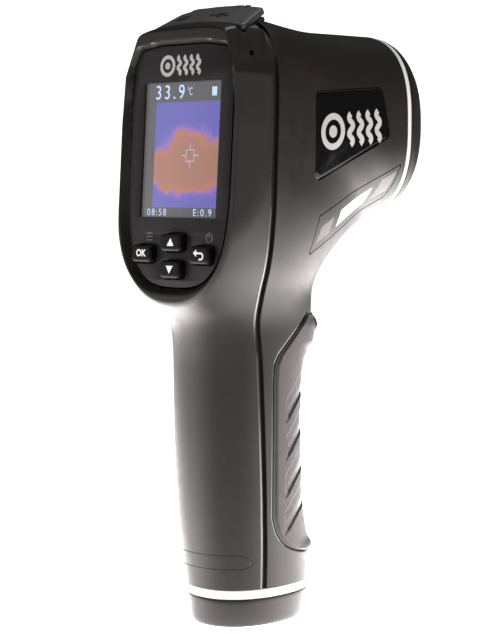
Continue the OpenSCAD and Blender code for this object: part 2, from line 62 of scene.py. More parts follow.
# The chamfered frame round the display: its half-width by height on the display, and its taper forwards.
FRAME_V = (-60, 8, 22, 32.8, 45)
FRAME_X = (23.6, 23.6, 22.9, 18.6, 13.7)
FRAME_TAPER = 0.37
OVERLAY_T = 0.8
KEY_SIZE = (8.4, 5.2)
KEY_PROUD = 3.0
KEYS = {"ok": (-12.4, 112.2), "up": (0.0, 115.7), "down": (0.0, 107.8), "back": (11.9, 112.3)}
FLAP_AT = np.array([0.0, -24.0, 178.4])
FLAP_SLOPE = 25.6
FLAP_T = 1.9
FLAP_ARCH_R = 100.0
FLAP_HINGE = (12.4, 0.3)
NOSE_Z = 151.9
PLATE_Y = 50.5

# Sections of the body from the foot of the handle to the nose: front point (y, z), rear point (y, z),
# half-width, share of the depth behind the middle, squareness of the front half and of the rear half.
SECTIONS = np.array([
    [20.6, 8.8, -20.6, 8.8, 15.4, 0.50, 2.2, 2.3],
    [21.7, 15.0, -21.6, 15.0, 16.2, 0.50, 2.2, 2.3],
    [16.2, 32.0, -23.8, 32.0, 17.0, 0.50, 2.2, 2.3],
    [14.7, 52.0, -24.6, 52.0, 17.2, 0.50, 2.2, 2.3],
    [14.4, 72.0, -24.8, 72.0, 17.3, 0.50, 2.2, 2.3],
    [18.4, 85.0, -25.5, 85.0, 17.6, 0.50, 2.2, 2.3],
    [20.0, 94.0, -28.4, 93.5, 18.0, 0.50, 2.2, 2.2],
    [20.6, 101.0, -40.4, 102.0, 20.1, 0.50, 2.1, 2.3],
    [22.4, 106.5, -46.5, 112.0, 23.6, 0.52, 2.1, 2.8],
    [26.4, 110.8, -47.0, 126.0, 26.0, 0.54, 2.1, 3.2],
    [31.4, 114.4, -46.5, 142.0, 27.3, 0.54, 2.1, 3.7],
    [36.4, 117.4, -45.5, 157.0, 27.6, 0.53, 2.1, 4.3],
    [40.6, 119.6, -42.0, 169.0, 27.7, 0.52, 2.1, 5.0],
    [43.6, 121.0, -33.0, 176.8, 27.6, 0.50, 2.2, 5.0],
    [45.4, 122.0, -18.0, 181.6, 27.4, 0.50, 2.3, 4.0],
    [46.2, 122.6, -5.0, 181.4, 27.0, 0.50, 2.4, 3.1],
    [46.8, 123.1, 12.0, 179.8, 26.4, 0.50, 2.5, 2.9],
    [47.0, 123.4, 30.0, 180.0, 25.7, 0.50, 2.6, 2.8],
    [47.2, 123.6, 47.2, 180.2, 25.0, 0.50, 2.75, 2.75]])
LAST = len(SECTIONS) - 1

# The parting line of the two shells, as (y, z), and the edge of the grip rubber, as (z, y).
SEAM = np.array([[-7.5, 0], [-10, 33], [-11.2, 60], [-12.3, 82], [-14.4, 98], [-16.3, 110],
                 [-17.2, 120], [-17.8, 135], [-17.6, 150], [-16.6, 190]])
GRIP_EDGE = np.array([[20.6, 16], [21, 12.5], [21.6, 9], [22.4, 5], [23.4, 1.8], [24.8, -1.2], [26.4, -3.2],
                      [29, -5.2], [33, -6.6], [40, -6.8], [75, -7], [79.5, -6.6], [82.2, -5], [86, -0.8],
                      [94.5, 10]])
# The finger pads of the grip: height of the lowest notch, their pitch, a pad's height and its rear edge.
PAD_Z, PAD_PITCH, PAD_TALL, PAD_REAR = 30.6, 11.4, 7.5, -2.3


# ---- Small geometry helpers ----

def smooth_min(a, b, k):
    """The smaller of a and b, with the corner between them rounded over k."""
    h = np.maximum(k - np.abs(a - b), 0) / k
    return np.minimum(a, b) - h * h * k / 4


def smooth_step(x):
    x = np.clip(x, 0, 1)
    return x * x * (3 - 2 * x)


def frame_of(origin, degrees):
    """A frame tipped about X: columns are its X, its up direction and its outward direction."""
    a = math.radians(degrees)
    axes = np.array([[1, 0, 0], [0, math.cos(a), -math.sin(a)], [0, math.sin(a), math.cos(a)]])
    return np.asarray(origin, float), axes


DISPLAY = frame_of(DISPLAY_AT, 90 - DISPLAY_TILT)
FLAP = frame_of(FLAP_AT, FLAP_SLOPE)


def into(place, points):
    """Points of the part as seen in a frame."""
    origin, axes = place
    return (points - origin) @ axes


def out_of(place, points):
    """Points of a frame as seen in the part."""
    origin, axes = place
    return points @ axes.T + origin


def catmull(t):
    i = min(int(t), LAST - 1)
    f = t - i
    a, b, c, d = SECTIONS[max(i - 1, 0)], SECTIONS[i], SECTIONS[i + 1], SECTIONS[min(i + 2, LAST)]
    return b + 0.5 * f * (c - a + f * (2 * a - 5 * b + 4 * c - d + f * (3 * (b - c) + d - a)))


def section_at(t):
    """A section between the listed ones, averaged over its neighbourhood so that no knot shows."""
    reach = min(0.45, t, LAST - t)
    return sum(w * catmull(t + s * reach) for s, w in
               ((-1, 0.08), (-0.6, 0.17), (-0.2, 0.25), (0.2, 0.25), (0.6, 0.17), (1, 0.08)))


def section_curve(t, angles, grow=0.0):
    """Points of one section's outline at the given angles: 0 is +X and 90 degrees is the front."""
    yf, zf, yb, zb, w, share, front_n, rear_n = section_at(t)
    f, r = np.array([yf, zf]), np.array([yb, zb])
    along = (f - r) / np.linalg.norm(f - r)
    f, r = f + grow * along, r - grow * along
    middle = f + (r - f) * share
    c, s = np.cos(angles), np.sin(angles)
    n = np.where(s >= 0, front_n, rear_n)
    radius = (np.abs(c) ** n + np.abs(s) ** n) ** (-1 / n)
    q = (radius * s)[:, None]
    yz = middle + np.where(q >= 0, (f - middle) * q, (middle - r) * q)
    return np.column_stack([(w + grow) * radius * c, yz])


def even_ring(t, n, grow=0.0):
    """A section's outline with its points evenly spaced along each quarter."""
    points = []
    for quarter in range(4):
        dense = section_curve(t, np.radians(90 * quarter + np.linspace(0, 90, 91)), grow)
        run = np.concatenate([[0], np.cumsum(np.linalg.norm(np.diff(dense, axis=0), axis=1))])
        at = np.linspace(0, run[-1], n // 4 + 1)[:-1]
        points.append(np.column_stack([np.interp(at, run, dense[:, k]) for k in range(3)]))
    return np.concatenate(points)


def even_rows(step):
    """Places along the spine, as section numbers, so that no two rows are further apart than step."""
    t = np.linspace(0, LAST, 2000)
    ends = np.array([section_at(v)[:4] for v in t])
    gap = np.maximum(np.hypot(*np.diff(ends[:, 0:2], axis=0).T), np.hypot(*np.diff(ends[:, 2:4], axis=0).T))
    run = np.concatenate([[0], np.cumsum(gap)])
    return np.interp(np.linspace(0, run[-1], int(run[-1] / step) + 1), run, t)


def oval(w, up, down, p_up, p_down, n=240):
    """A rounded outline: half-width, half-heights and the squareness of its upper and lower half."""
    a = np.linspace(0, 2 * np.pi, n, endpoint=False)
    c, s = np.cos(a), np.sin(a)
    p = np.where(s >= 0, p_up, p_down)
    radius = (np.abs(c) ** p + np.abs(s) ** p) ** (-1 / p)
    return np.column_stack([w * radius * c, np.where(s >= 0, up, down) * radius * s])


def rounded_polygon(corners, radius, steps=8):
    """A convex outline, given anticlockwise, with each corner rounded."""
    corners = np.asarray(corners, float)
    out = []
    for i, c in enumerate(corners):
        a, b = corners[i - 1] - c, corners[(i + 1) % len(corners)] - c
        a, b = a / np.linalg.norm(a), b / np.linalg.norm(b)
        half = math.acos(np.clip(a @ b, -1, 1)) / 2
        middle = c + (a + b) / np.linalg.norm(a + b) * radius / math.sin(half)
        start = math.atan2(*(c + a * radius / math.tan(half) - middle)[::-1])
        end = math.atan2(*(c + b * radius / math.tan(half) - middle)[::-1])
        turn = (end - start) % (2 * math.pi)
        out += [middle + radius * np.array([math.cos(start + turn * k / steps),
                                            math.sin(start + turn * k / steps)])
                for k in range(steps + 1)]
    return np.array(out)


def rectangle(w, h, radius, at=(0, 0), steps=8):
    x, y = at
    return rounded_polygon([[x - w / 2, y - h / 2], [x + w / 2, y - h / 2],
                            [x + w / 2, y + h / 2], [x - w / 2, y + h / 2]], radius, steps)


def inset(outline, distance):
    """A closed anticlockwise outline moved inwards by a distance."""
    ahead, behind = np.roll(outline, -1, 0) - outline, outline - np.roll(outline, 1, 0)
    tangent = ahead / (np.linalg.norm(ahead, axis=1)[:, None] + 1e-9) \
        + behind / (np.linalg.norm(behind, axis=1)[:, None] + 1e-9)
    tangent /= np.linalg.norm(tangent, axis=1)[:, None] + 1e-9
    return outline + distance * np.column_stack([-tangent[:, 1], tangent[:, 0]])


def raised(outline, h):
    return np.column_stack([outline, np.full(len(outline), float(h))])


# ---- Mesh helpers ----

def new_piece(name, points, faces, material, body, sharp=35.0):
    """A piece from points in millimetres."""
    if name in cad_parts:
        name += "_piece"
    mesh = bpy.data.meshes.new(name)
    mesh.from_pydata([tuple(p) for p in np.asarray(points, float) * MM], [], faces)
    mesh.validate()
    piece = bpy.data.objects.new(name, mesh)
    bpy.context.scene.collection.objects.link(piece)
    tidy_mesh(piece, sharp)
    if material is not None:
        piece.data.materials.append(material)
    if body is not None:
        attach(piece, body)
    return piece


def tidy_mesh(piece, sharp=35.0):
    """Merges doubled points, turns faces outwards and marks the sharp edges."""
    bm = bmesh.new()
    bm.from_mesh(piece.data)
    bmesh.ops.remove_doubles(bm, verts=bm.verts, dist=1e-7)
    bmesh.ops.dissolve_degenerate(bm, edges=bm.edges, dist=1e-8)
    bmesh.ops.recalc_face_normals(bm, faces=bm.faces)
    limit = math.radians(sharp)
    for e in bm.edges:
        e.smooth = len(e.link_faces) == 2 and e.calc_face_angle(0) < limit
    for f in bm.faces:
        f.smooth = True
    bm.to_mesh(piece.data)
    bm.free()


def loft_faces(rows, n, caps=True, closed=True):
    """Quads through rows of n points each."""
    last = n if closed else n - 1
    faces = [(i * n + k, i * n + (k + 1) % n, (i + 1) * n + (k + 1) % n, (i + 1) * n + k)
             for i in range(rows - 1) for k in range(last)]
    if caps:
        faces += [tuple(range(n))[::-1], tuple(range((rows - 1) * n, rows * n))]
    return faces


def loft(name, rings, material=None, body=None, caps=True, sharp=35.0):
    """A closed solid through rings that have the same number of points."""
    return new_piece(name, np.concatenate(rings), loft_faces(len(rings), len(rings[0]), caps), material,
                     body, sharp)


def turned(name, profile, centre, material, body, n=96, axis="y", sharp=30.0):
    """A turned piece: profile is (along, radius), and it closes on itself when its ends meet."""
    a = np.linspace(0, 2 * np.pi, n, endpoint=False)
    rings = []
    for along, radius in profile:
        c, s = radius * np.cos(a), radius * np.sin(a)
        l = np.full(n, along)
        rings.append(np.array(centre)
                     + (np.column_stack([c, l, -s]) if axis == "y" else np.column_stack([c, s, l])))
    closed = np.allclose(profile[0], profile[-1])
    return loft(name, rings, material, body, caps=not closed, sharp=sharp)


def prism(name, outline, low, high, to_part):
    """A cutter: an outline of a plane, drawn out from low to high across it, then placed by to_part."""
    return loft(name, [to_part(raised(outline, low)), to_part(raised(outline, high))], sharp=20)


def across(points):
    """(y, z, x) to (x, y, z)."""
    return points[:, [2, 0, 1]]


def cut(piece, cutters, operation="DIFFERENCE"):
    """Cuts a solid with others, which are then removed."""
    finishes = [m for m in piece.data.materials if m]
    for cutter in cutters:
        m = piece.modifiers.new("cut", "BOOLEAN")
        m.solver = "MANIFOLD"
        m.operation = operation
        m.object = cutter
        bpy.context.view_layer.update()
        made = bpy.data.meshes.new_from_object(piece.evaluated_get(bpy.context.evaluated_depsgraph_get()))
        piece.modifiers.clear()
        if len(made.polygons) == 0:
            raise RuntimeError(f"cutting {piece.name} with {cutter.name} left nothing")
        made.materials.clear()
        for finish in finishes:
            made.materials.append(finish)
        piece.data = made
    for cutter in cutters:
        bpy.data.objects.remove(cutter)
    tidy_mesh(piece, 32)
    return piece


def copy_of(piece, name):
    other = piece.copy()
    other.data = piece.data.copy()
    other.name = name
    bpy.context.scene.collection.objects.link(other)
    return other


def join(name, pieces):
    """One piece from several, on the first one's body."""
    bpy.context.view_layer.update()
    bm = bmesh.new()
    materials = []
    for p in pieces:
        offset = len(bm.faces)
        bm.from_mesh(p.data)
        bm.faces.ensure_lookup_table()
        for m in p.data.materials:
            if m not in materials:
                materials.append(m)
        table = [materials.index(m) for m in p.data.materials]
        for f in bm.faces[offset:]:
            f.material_index = table[f.material_index] if table else 0
    first = pieces[0]
    bm.to_mesh(first.data)
    bm.free()
    first.data.materials.clear()
    for m in materials:
        first.data.materials.append(m)
    for p in pieces[1:]:
        bpy.data.objects.remove(p)
    first.name = name
    return first


# ---- Materials ----

class Nodes:
    """Builds a node material with few words."""

    def __init__(self, name):
        self.material = bpy.data.materials.new(name)
        self.material.use_nodes = True
        self.tree = self.material.node_tree
        self.shader = self.tree.nodes["Principled BSDF"]
        self.coordinates = self.tree.nodes.new("ShaderNodeTexCoord")

    def add(self, kind, inputs=None, **settings):
        node = self.tree.nodes.new(kind)
        for key, value in settings.items():
            setattr(node, key, value)
        for key, value in (inputs or {}).items():
            self.put(node.inputs[key], value)
        return node

    def put(self, socket, value):
        if isinstance(value, bpy.types.NodeSocket):
            self.tree.links.new(value, socket)
        else:
            socket.default_value = value

    def noise(self, size_mm, detail=3.0, roughness=0.5, source="Object", distortion=0.0):
        """Noise whose grains are about size_mm across."""
        return self.add("ShaderNodeTexNoise",
                        {"Vector": self.coordinates.outputs[source], "Scale": 1 / (size_mm * MM),
                                               "Detail": detail, "Roughness": roughness,
                                               "Distortion": distortion}).outputs["Fac"]

    def spread(self, value, low, high, new_low, new_high):
        return self.add("ShaderNodeMapRange", {"Value": value, "From Min": low, "From Max": high,
                                               "To Min": new_low, "To Max": new_high}).outputs["Result"]

    def mix(self, factor, a, b):
        node = self.add("ShaderNodeMix", data_type="RGBA")
        self.put(node.inputs["Factor"], factor)
        self.put(node.inputs[6], a)
        self.put(node.inputs[7], b)
        return node.outputs[2]

    def math(self, operation, a, b=0.0):
        node = self.add("ShaderNodeMath", operation=operation)
        self.put(node.inputs[0], a)
        self.put(node.inputs[1], b)
        return node.outputs[0]

    def bump(self, height, depth_mm, strength=1.0):
        node = self.add("ShaderNodeBump", {"Height": height, "Distance": depth_mm * MM, "Strength": strength})
        self.put(self.shader.inputs["Normal"], node.outputs["Normal"])


def rgb(r, g, b):
    return (r, g, b, 1.0)


def moulded(name, colour, roughness, grain_mm=0.35, depth_mm=0.012, mottle=0.25, specular=0.5, coat=0.0):
    """Moulded plastic or rubber: fine grain, uneven gloss and a slight drift of tone."""
    m = Nodes(name)
    tone = m.spread(m.noise(9.0, 4), 0.3, 0.7, 1 - mottle / 2, 1 + mottle / 2)
    dark = rgb(*(c * (1 - mottle) for c in colour))
    light = rgb(*(min(c * (1 + mottle), 1) for c in colour))
    m.put(m.shader.inputs["Base Color"], m.mix(m.math("SUBTRACT", tone, 0.5), dark, light))
    gloss = m.spread(m.noise(2.4, 3), 0.25, 0.75, roughness - 0.05, roughness + 0.06)
    m.put(m.shader.inputs["Roughness"], gloss)
    grain = m.math("ADD", m.noise(grain_mm, 2), m.math("MULTIPLY", m.noise(grain_mm * 5, 2), 0.4))
    m.bump(grain, depth_mm)
    m.shader.inputs["Specular IOR Level"].default_value = specular
    if coat:
        m.shader.inputs["Coat Weight"].default_value = coat
        m.shader.inputs["Coat Roughness"].default_value = 0.08
    return m.material


def metal(name, colour, roughness, grain_mm=0.2):
    """Turned or stamped metal with fine streaks."""
    m = Nodes(name)
    m.put(m.shader.inputs["Base Color"], m.mix(m.noise(3.0), rgb(*(c * 0.85 for c in colour)), rgb(*colour)))
    m.put(m.shader.inputs["Roughness"],
          m.spread(m.noise(grain_mm, 4), 0.3, 0.7, roughness * 0.7, roughness * 1.3))
    m.shader.inputs["Metallic"].default_value = 1.0
    m.bump(m.noise(grain_mm, 3), 0.006)
    return m.material


def board(name):
    """Green solder mask with the faint relief of its tracks."""
    m = Nodes(name)
    tracks = m.add("ShaderNodeTexBrick", {"Vector": m.coordinates.outputs["Object"], "Scale": 260.0,
                                          "Mortar Size": 0.03}).outputs["Fac"]
    m.put(m.shader.inputs["Base Color"], m.mix(tracks, rgb(0.01, 0.12, 0.05), rgb(0.03, 0.22, 0.1)))
    m.put(m.shader.inputs["Roughness"], m.spread(m.noise(1.5), 0, 1, 0.25, 0.4))
    m.bump(tracks, 0.03)
    return m.material


def printed(name, colour, glow=0.0):
    """Screen print, or a lit figure of the display when it glows; a glow on plain print, which is no lamp, is
    painted brightness.
    """
    m = Nodes(name)
    m.put(m.shader.inputs["Base Color"],
          m.mix(m.noise(0.5, 2), rgb(*(c * 0.93 for c in colour)), rgb(*colour)))
    m.put(m.shader.inputs["Roughness"], m.spread(m.noise(0.8), 0, 1, 0.45, 0.6))
    m.bump(m.noise(0.3, 2), 0.004)
    if glow:
        m.shader.inputs["Emission Color"].default_value = rgb(*colour)
        m.shader.inputs["Emission Strength"].default_value = glow
    return m.material


def lens(name, colour, roughness, ior):
    """An infrared lens or window with an uneven coating."""
    m = Nodes(name)
    rim = m.noise(3.0, 2)
    m.put(m.shader.inputs["Base Color"],
          m.mix(rim, rgb(*colour), rgb(colour[0] * 1.3, colour[1] * 0.9, colour[2] * 1.4)))
    m.put(m.shader.inputs["Roughness"], m.spread(m.noise(4.0), 0, 1, roughness, roughness + 0.05))
    m.shader.inputs["IOR"].default_value = ior
    m.shader.inputs["Coat Weight"].default_value = 0.6
    m.shader.inputs["Coat Roughness"].default_value = 0.04
    m.bump(m.noise(2.0), 0.002)
    return m.material


def display_picture(name):
    """The lit display: a violet heat picture with a warm blob, between two grey status bars."""
    m = Nodes(name)
    uv = m.coordinates.outputs["UV"]
    place = m.add("ShaderNodeSeparateXYZ", {"Vector": uv})
    x, y = place.outputs["X"], place.outputs["Y"]
    drift = m.add("ShaderNodeTexNoise",
                  {"Vector": uv, "Scale": 7.0, "Detail": 2.0, "Roughness": 0.45}).outputs["Fac"]
    fine = m.add("ShaderNodeTexNoise", {"Vector": uv, "Scale": 15.0, "Detail": 1.0}).outputs["Fac"]
    wander = m.math("MULTIPLY", m.math("SUBTRACT", drift, 0.5), 0.5)

    def hill(cx, cy, rx, ry):
        dx = m.math("DIVIDE", m.math("SUBTRACT", x, cx), rx)
        dy = m.math("DIVIDE", m.math("SUBTRACT", y, cy), ry)
        return m.math("SUBTRACT", 1.0,
                      m.math("SQRT", m.math("ADD", m.math("POWER", m.math("ABSOLUTE", dx), 2.0),
                                                             m.math("POWER", m.math("ABSOLUTE", dy), 2.0))))

    heat = m.math("MAXIMUM", hill(0.60, 0.42, 0.38, 0.24), hill(0.58, 0.36, 0.62, 0.19))
    heat = m.math("MAXIMUM", heat, hill(0.95, 0.40, 0.30, 0.19))
    heat = m.math("ADD", m.math("ADD", heat, wander), m.math("MULTIPLY", m.math("SUBTRACT", fine, 0.5), 0.22))
    ramp = m.add("ShaderNodeValToRGB", {"Fac": m.spread(heat, -0.25, 0.5, 0, 1)})
    stops = ((0.0, (0.17, 0.16, 0.50)), (0.24, (0.21, 0.18, 0.55)), (0.36, (0.36, 0.20, 0.50)),
             (0.46, (0.46, 0.21, 0.27)), (0.58, (0.50, 0.24, 0.13)), (0.8, (0.45, 0.21, 0.19)),
             (1.0, (0.42, 0.22, 0.17)))
    ramp.color_ramp.elements.remove(ramp.color_ramp.elements[0])
    ramp.color_ramp.elements[0].position, ramp.color_ramp.elements[0].color = stops[0][0], rgb(*stops[0][1])
    for at, colour in stops[1:]:
        ramp.color_ramp.elements.new(at).color = rgb(*colour)
    inside = m.math("MULTIPLY", m.math("GREATER_THAN", y, 0.076), m.math("LESS_THAN", y, 0.858))
    inside = m.math("MULTIPLY", inside, m.math("GREATER_THAN", x, 0.135))
    grey = m.mix(drift, rgb(0.115, 0.11, 0.115), rgb(0.15, 0.145, 0.15))
    picture = m.mix(inside, grey, ramp.outputs["Color"])
    m.put(m.shader.inputs["Base Color"], m.mix(0.75, picture, rgb(0.02, 0.02, 0.02)))
    m.put(m.shader.inputs["Emission Color"], picture)
    m.shader.inputs["Emission Strength"].default_value = 0.75
    m.put(m.shader.inputs["Roughness"], m.spread(drift, 0, 1, 0.16, 0.22))
    m.bump(m.noise(1.2), 0.002)
    return m.material


SHELL = moulded("shell_plastic", (0.018, 0.0138, 0.0135), 0.34, 0.32, 0.008, specular=0.44)
# The polished bevel: lower roughness and a coat, and a slightly lighter colour than the shell, which paints a
# sheen along it.
SHELL_POLISH_AND_SHEEN = moulded("shell_polished_edge_and_painted_sheen", (0.020, 0.017, 0.017), 0.12, 0.5, 0.002, 0.1, coat=0.5)
NOSE = moulded("nose_plastic", (0.017, 0.0130, 0.0127), 0.32, 0.3, 0.008)
SEAL = moulded("seal_rubber", (0.003, 0.003, 0.003), 0.6, 0.4, 0.01)
OVERLAY = moulded("overlay_film", (0.016, 0.014, 0.0145), 0.36, 0.25, 0.004, 0.08, specular=0.3)
KEY = moulded("key_plastic", (0.0045, 0.004, 0.0045), 0.36, 0.3, 0.008, specular=0.2)
FLAP_RUBBER = moulded("flap_rubber", (0.060, 0.058, 0.059), 0.5, 0.4, 0.02)
GRIP = moulded("grip_rubber_grained", (0.085, 0.074, 0.073), 0.58, 0.5, 0.085, 0.2)
RING = moulded("ring_plastic", (0.80, 0.80, 0.81), 0.35, 0.4, 0.006, 0.04)
BADGE = moulded("badge_gloss", (0.0035, 0.0035, 0.004), 0.16, 2.5, 0.001, 0.1, coat=0.4)
CHIP = moulded("chip_epoxy", (0.012, 0.012, 0.013), 0.45, 0.3, 0.01)
MAT = moulded("silicone_mat", (0.12, 0.12, 0.125), 0.55)
CABLE = moulded("cable_film", (0.42, 0.19, 0.03), 0.35, 0.5, 0.004)
CELL = moulded("cell_sleeve", (0.03, 0.09, 0.3), 0.3, 0.8, 0.003)
STEEL = metal("plated_steel", (0.56, 0.57, 0.58), 0.3)
BRASS = metal("turned_brass", (0.62, 0.43, 0.16), 0.26)
BOARD = board("solder_mask")
# The white print on the keys and the label glows a little: painted brightness, as the print is no lamp.
PRINT_WHITE_PAINTED_GLOW = printed("print_white_painted_glow", (0.92, 0.92, 0.92), 0.1)
PRINT_GREY = printed("print_grey", (0.20, 0.19, 0.19))
PRINT_PALE = printed("print_pale", (0.17, 0.165, 0.165))
MARK = printed("mark_silver", (0.55, 0.54, 0.54))
LIT = printed("lit_figures", (0.42, 0.55, 0.78), 0.6)
LIT_DIM = printed("lit_figures_dim", (0.27, 0.27, 0.36), 0.35)
PICTURE = display_picture("display_picture")
LENS_DARK = lens("imager_lens_coating", (0.045, 0.035, 0.045), 0.05, 2.4)
LENS_MILKY = lens("spot_lens_film", (0.12, 0.10, 0.09), 0.12, 1.5)


# ---- The body's form ----

def seam_y(z):
    return np.interp(z, SEAM[:, 1], SEAM[:, 0])


def overlay_outline():
    """The overlay's outline in the display's frame: chamfered corners above, an oval below."""
    right = np.array([[21.0, -20.0], [21.0, 15.0], [20.2, 25.2], [17.9, 29.4], [9.0, 30.6]])
    above = rounded_polygon(np.vstack([right, right[::-1] * [-1, 1]]), 1.4)
    below = oval(21, 35.6, 35.6, 6, 3.1) + [0, OVERLAY_V]
    return np.vstack([above[above[:, 1] > OVERLAY_V], below[below[:, 1] < OVERLAY_V]])


def overlay_distance(x, v):
    """Distance outside the overlay's outline, in the display's frame."""
    away = np.full(len(x), -1e3)
    outline = overlay_outline()
    for a, b in zip(outline, np.roll(outline, -1, axis=0)):
        edge = b - a
        if (length := np.hypot(*edge)) > 1e-6:
            away = np.maximum(away, ((x - a[0]) * edge[1] - (v - a[1]) * edge[0]) / length)
    return away


def shape_display_end(points):
    """Flattens the rear of the head to the frame's lip, and sinks the overlay's bed inside it."""
    d = into(DISPLAY, points)
    x, v, h = d.T
    limit = np.interp(v, FRAME_V, FRAME_X) + FRAME_TAPER * np.maximum(LIP_H - h, 0)
    x = np.sign(x) * np.where(v > -60, smooth_min(np.abs(x), limit, 0.8), np.abs(x))
    rear = h > -6
    flat = smooth_min(h, LIP_H, 1.5)
    away = overlay_distance(x, v)
    slope = 2.4 - 1.1 * smooth_step((v - 12) / 8)
    bed = np.where(away < 0.15, -1.6, 0.3 + (LIP_H - 0.3) * smooth_step((away - 0.15) / slope))
    new_h = np.where(rear & (v > -46), np.minimum(flat, bed), h)
    return out_of(DISPLAY, np.column_stack([x, v, new_h]))


def shape_flap_seat(points, drop=0.25):
    """Sinks the sloping seat of the port flap."""
    d = into(FLAP, points)
    x, v, h = d.T
    plan = (v > -1.2) & (v < 13.7) & (np.abs(x) < 20.4 - 0.2 * v)
    seat = np.sqrt(FLAP_ARCH_R ** 2 - x ** 2) - FLAP_ARCH_R - drop
    return out_of(FLAP, np.column_stack([x, v, np.where(plan, np.minimum(h, seat), h)]))


def body_rings(columns, step, grow=0.0):
    return [even_ring(t, columns, grow) for t in even_rows(step)]


def make_body():
    points = np.concatenate(rings := body_rings(320, 0.75))
    points = shape_flap_seat(shape_display_end(points))
    return new_piece("body_form", points, loft_faces(len(rings), 320), None, None, sharp=60)


def make_hollow():
    """What the two shells leave empty."""
    points = np.concatenate(rings := body_rings(96, 3.0, -WALL))
    d = into(DISPLAY, points)
    d[:, 2] = np.minimum(d[:, 2], -3.2)
    points = out_of(DISPLAY, d)
    f = into(FLAP, points)
    f[:, 2] = np.where((f[:, 1] > -4) & (f[:, 1] < 16), np.minimum(f[:, 2], -6.6), f[:, 2])
    return new_piece("hollow", out_of(FLAP, f), loft_faces(len(rings), 96), None, None, sharp=60)


body_form = make_body()
body_tree = BVHTree.FromObject(body_form, bpy.context.evaluated_depsgraph_get())


def on_side(y, z, side, lift=0.0):
    """The point of the body's side that stands over (y, z), lifted along the surface's normal."""
    hit, normal, _, _ = body_tree.ray_cast(Vector((side * 0.08, y * MM, z * MM)), Vector((-side, 0, 0)))
    return np.array(hit) / MM + np.array(normal) * lift


def box_cutter(name, low, high):
    (x0, y0, z0), (x1, y1, z1) = low, high
    ring = [[x0, y0], [x1, y0], [x1, y1], [x0, y1]]
    return loft(name, [raised(np.array(ring, float), z0), raised(np.array(ring, float), z1)], sharp=20)


def seam_cutter(name, shift, side):
    """Everything on one side of the parting line."""
    outline = [[y + shift, z] for y, z in SEAM] + [[side, 190], [side, 0]]
    outline = np.array(outline, float)
    if side > 0:
        outline = outline[::-1]
    return prism(name, outline, -60, 60, across)


def seam_path(side):
    """Points of the parting line on one side of the body, from the foot up to the flap."""
    path = []
    for t in even_rows(1.6):
        angles = np.radians(np.linspace(-90, 90, 361))
        ring = section_curve(t, angles)
        gap = ring[:, 1] - seam_y(ring[:, 2])
        change = np.nonzero((gap[:-1] < 0) & (gap[1:] >= 0))[0]
        if len(change) == 0:
            break
        k = change[0]
        w = gap[k] / (gap[k] - gap[k + 1])
        path.append(ring[k] + (ring[k + 1] - ring[k]) * w)
    path = np.array(path)
    path[:, 0] *= side
    return path[np.abs(path[:, 0]) > 12]


def path_normals(path):
    """Outward normals of the body along a path of points on it."""
    normals = []
    for p in path:
        _, normal, _, _ = body_tree.find_nearest(Vector(p * MM))
        normals.append(np.array(normal))
    normals = np.array(normals)
    for _ in range(3):
        normals[1:-1] = (normals[:-2] + normals[1:-1] + normals[2:]) / 3
    return normals / np.linalg.norm(normals, axis=1)[:, None]


def along_path(name, path, section, material=None, body=None, sharp=30.0):
    """A bar along a path on the body: section is (across, outwards), and across points forwards."""
    tangent = np.gradient(path, axis=0)
    tangent /= np.linalg.norm(tangent, axis=1)[:, None]
    normal = path_normals(path)
    side = np.cross(normal, tangent)
    side /= np.linalg.norm(side, axis=1)[:, None]
    side *= np.sign(side[:, 1])[:, None]
    rings = [np.array([p + s * a + n * b for a, b in section]) for p, s, n in zip(path, side, normal)]
    return loft(name, rings, material, body, sharp=sharp)


# ---- Shells ----

def make_shells():
    rear, front = body_form, copy_of(body_form, "front_shell_piece")
    rear.name = "rear_shell_piece"
    paths = [seam_path(1), seam_path(-1)]
    half = SEAM_GAP / 2
    below = ([-60, -60, -5], [60, 60, FOOT_Z])
    port = ([-16.3, 1.2], [16.3, 1.2], [16.3, 10.2], [-16.3, 10.2])
    pill = rectangle(29, 4.6, 2.28, (0, 20.5), 12)
    for shell, side in ((rear, -1), (front, 1)):
        cutters = [box_cutter("foot", *below), make_hollow(), seam_cutter("seam", side * half, -side * 90),
                   prism("port", np.array(port, float), -9, 6, lambda p: out_of(FLAP, p))]
        # The edge of the groove: a wide polished chamfer on the rear shell, whose finish also has a painted
        # sheen, and a small one on the front shell.
        reach, fall = (half + 1.15, 0.42) if side < 0 else (half + 0.16, 0.14)
        cutters += [along_path("edge", path, chamfer(side * half, side * reach, fall)) for path in paths]
        if side < 0:
            cutters.append(ring_prism("pill", pill, 0.36, -40, -8,
                                      lambda p: np.column_stack([p[:, 0], p[:, 2], p[:, 1]])))
        else:
            cutters += [box_cutter("nose", [-60, NOSE_Y, 60], [60, 80, 200])]
            cutters += [prism("badge", badge_outline(0.0), low, high, across)
                        for low, high in ((12, 60), (-60, -12))]
            cutters += [ring_prism("label", label_outline(), 0.34, 8, 60, across)]
            cutters += [prism("opening", trigger_opening(), -8, 8, across)]
        cut(shell, cutters)
        shell.data.materials.append(SHELL)
        shell.data.materials.append(SHELL_POLISH_AND_SHEEN)
        if side < 0:
            polish_and_sheen(shell, paths, half, half + 1.15)
        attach(shell, "housing")
        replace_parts(shell, "rear_shell" if side < 0 else "front_shell")
    for n, path in enumerate(paths):
        seal = along_path(f"shell_seal_{'right' if n == 0 else 'left'}", path,
                          [(-1.0, -1.2), (1.0, -1.2), (1.0, -2.2), (-1.0, -2.2)], SEAL, "housing")
        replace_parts(seal, "shell_seal")
    return rear, front


def chamfer(inner, outer, fall):
    """The section of a cutter that bevels a shell's edge, from inner to outer across it and fall deep."""
    back = -inner
    return [(back, 0.9), (outer, 0.9), (outer, 0.02), (inner, -fall), (back, -fall)]


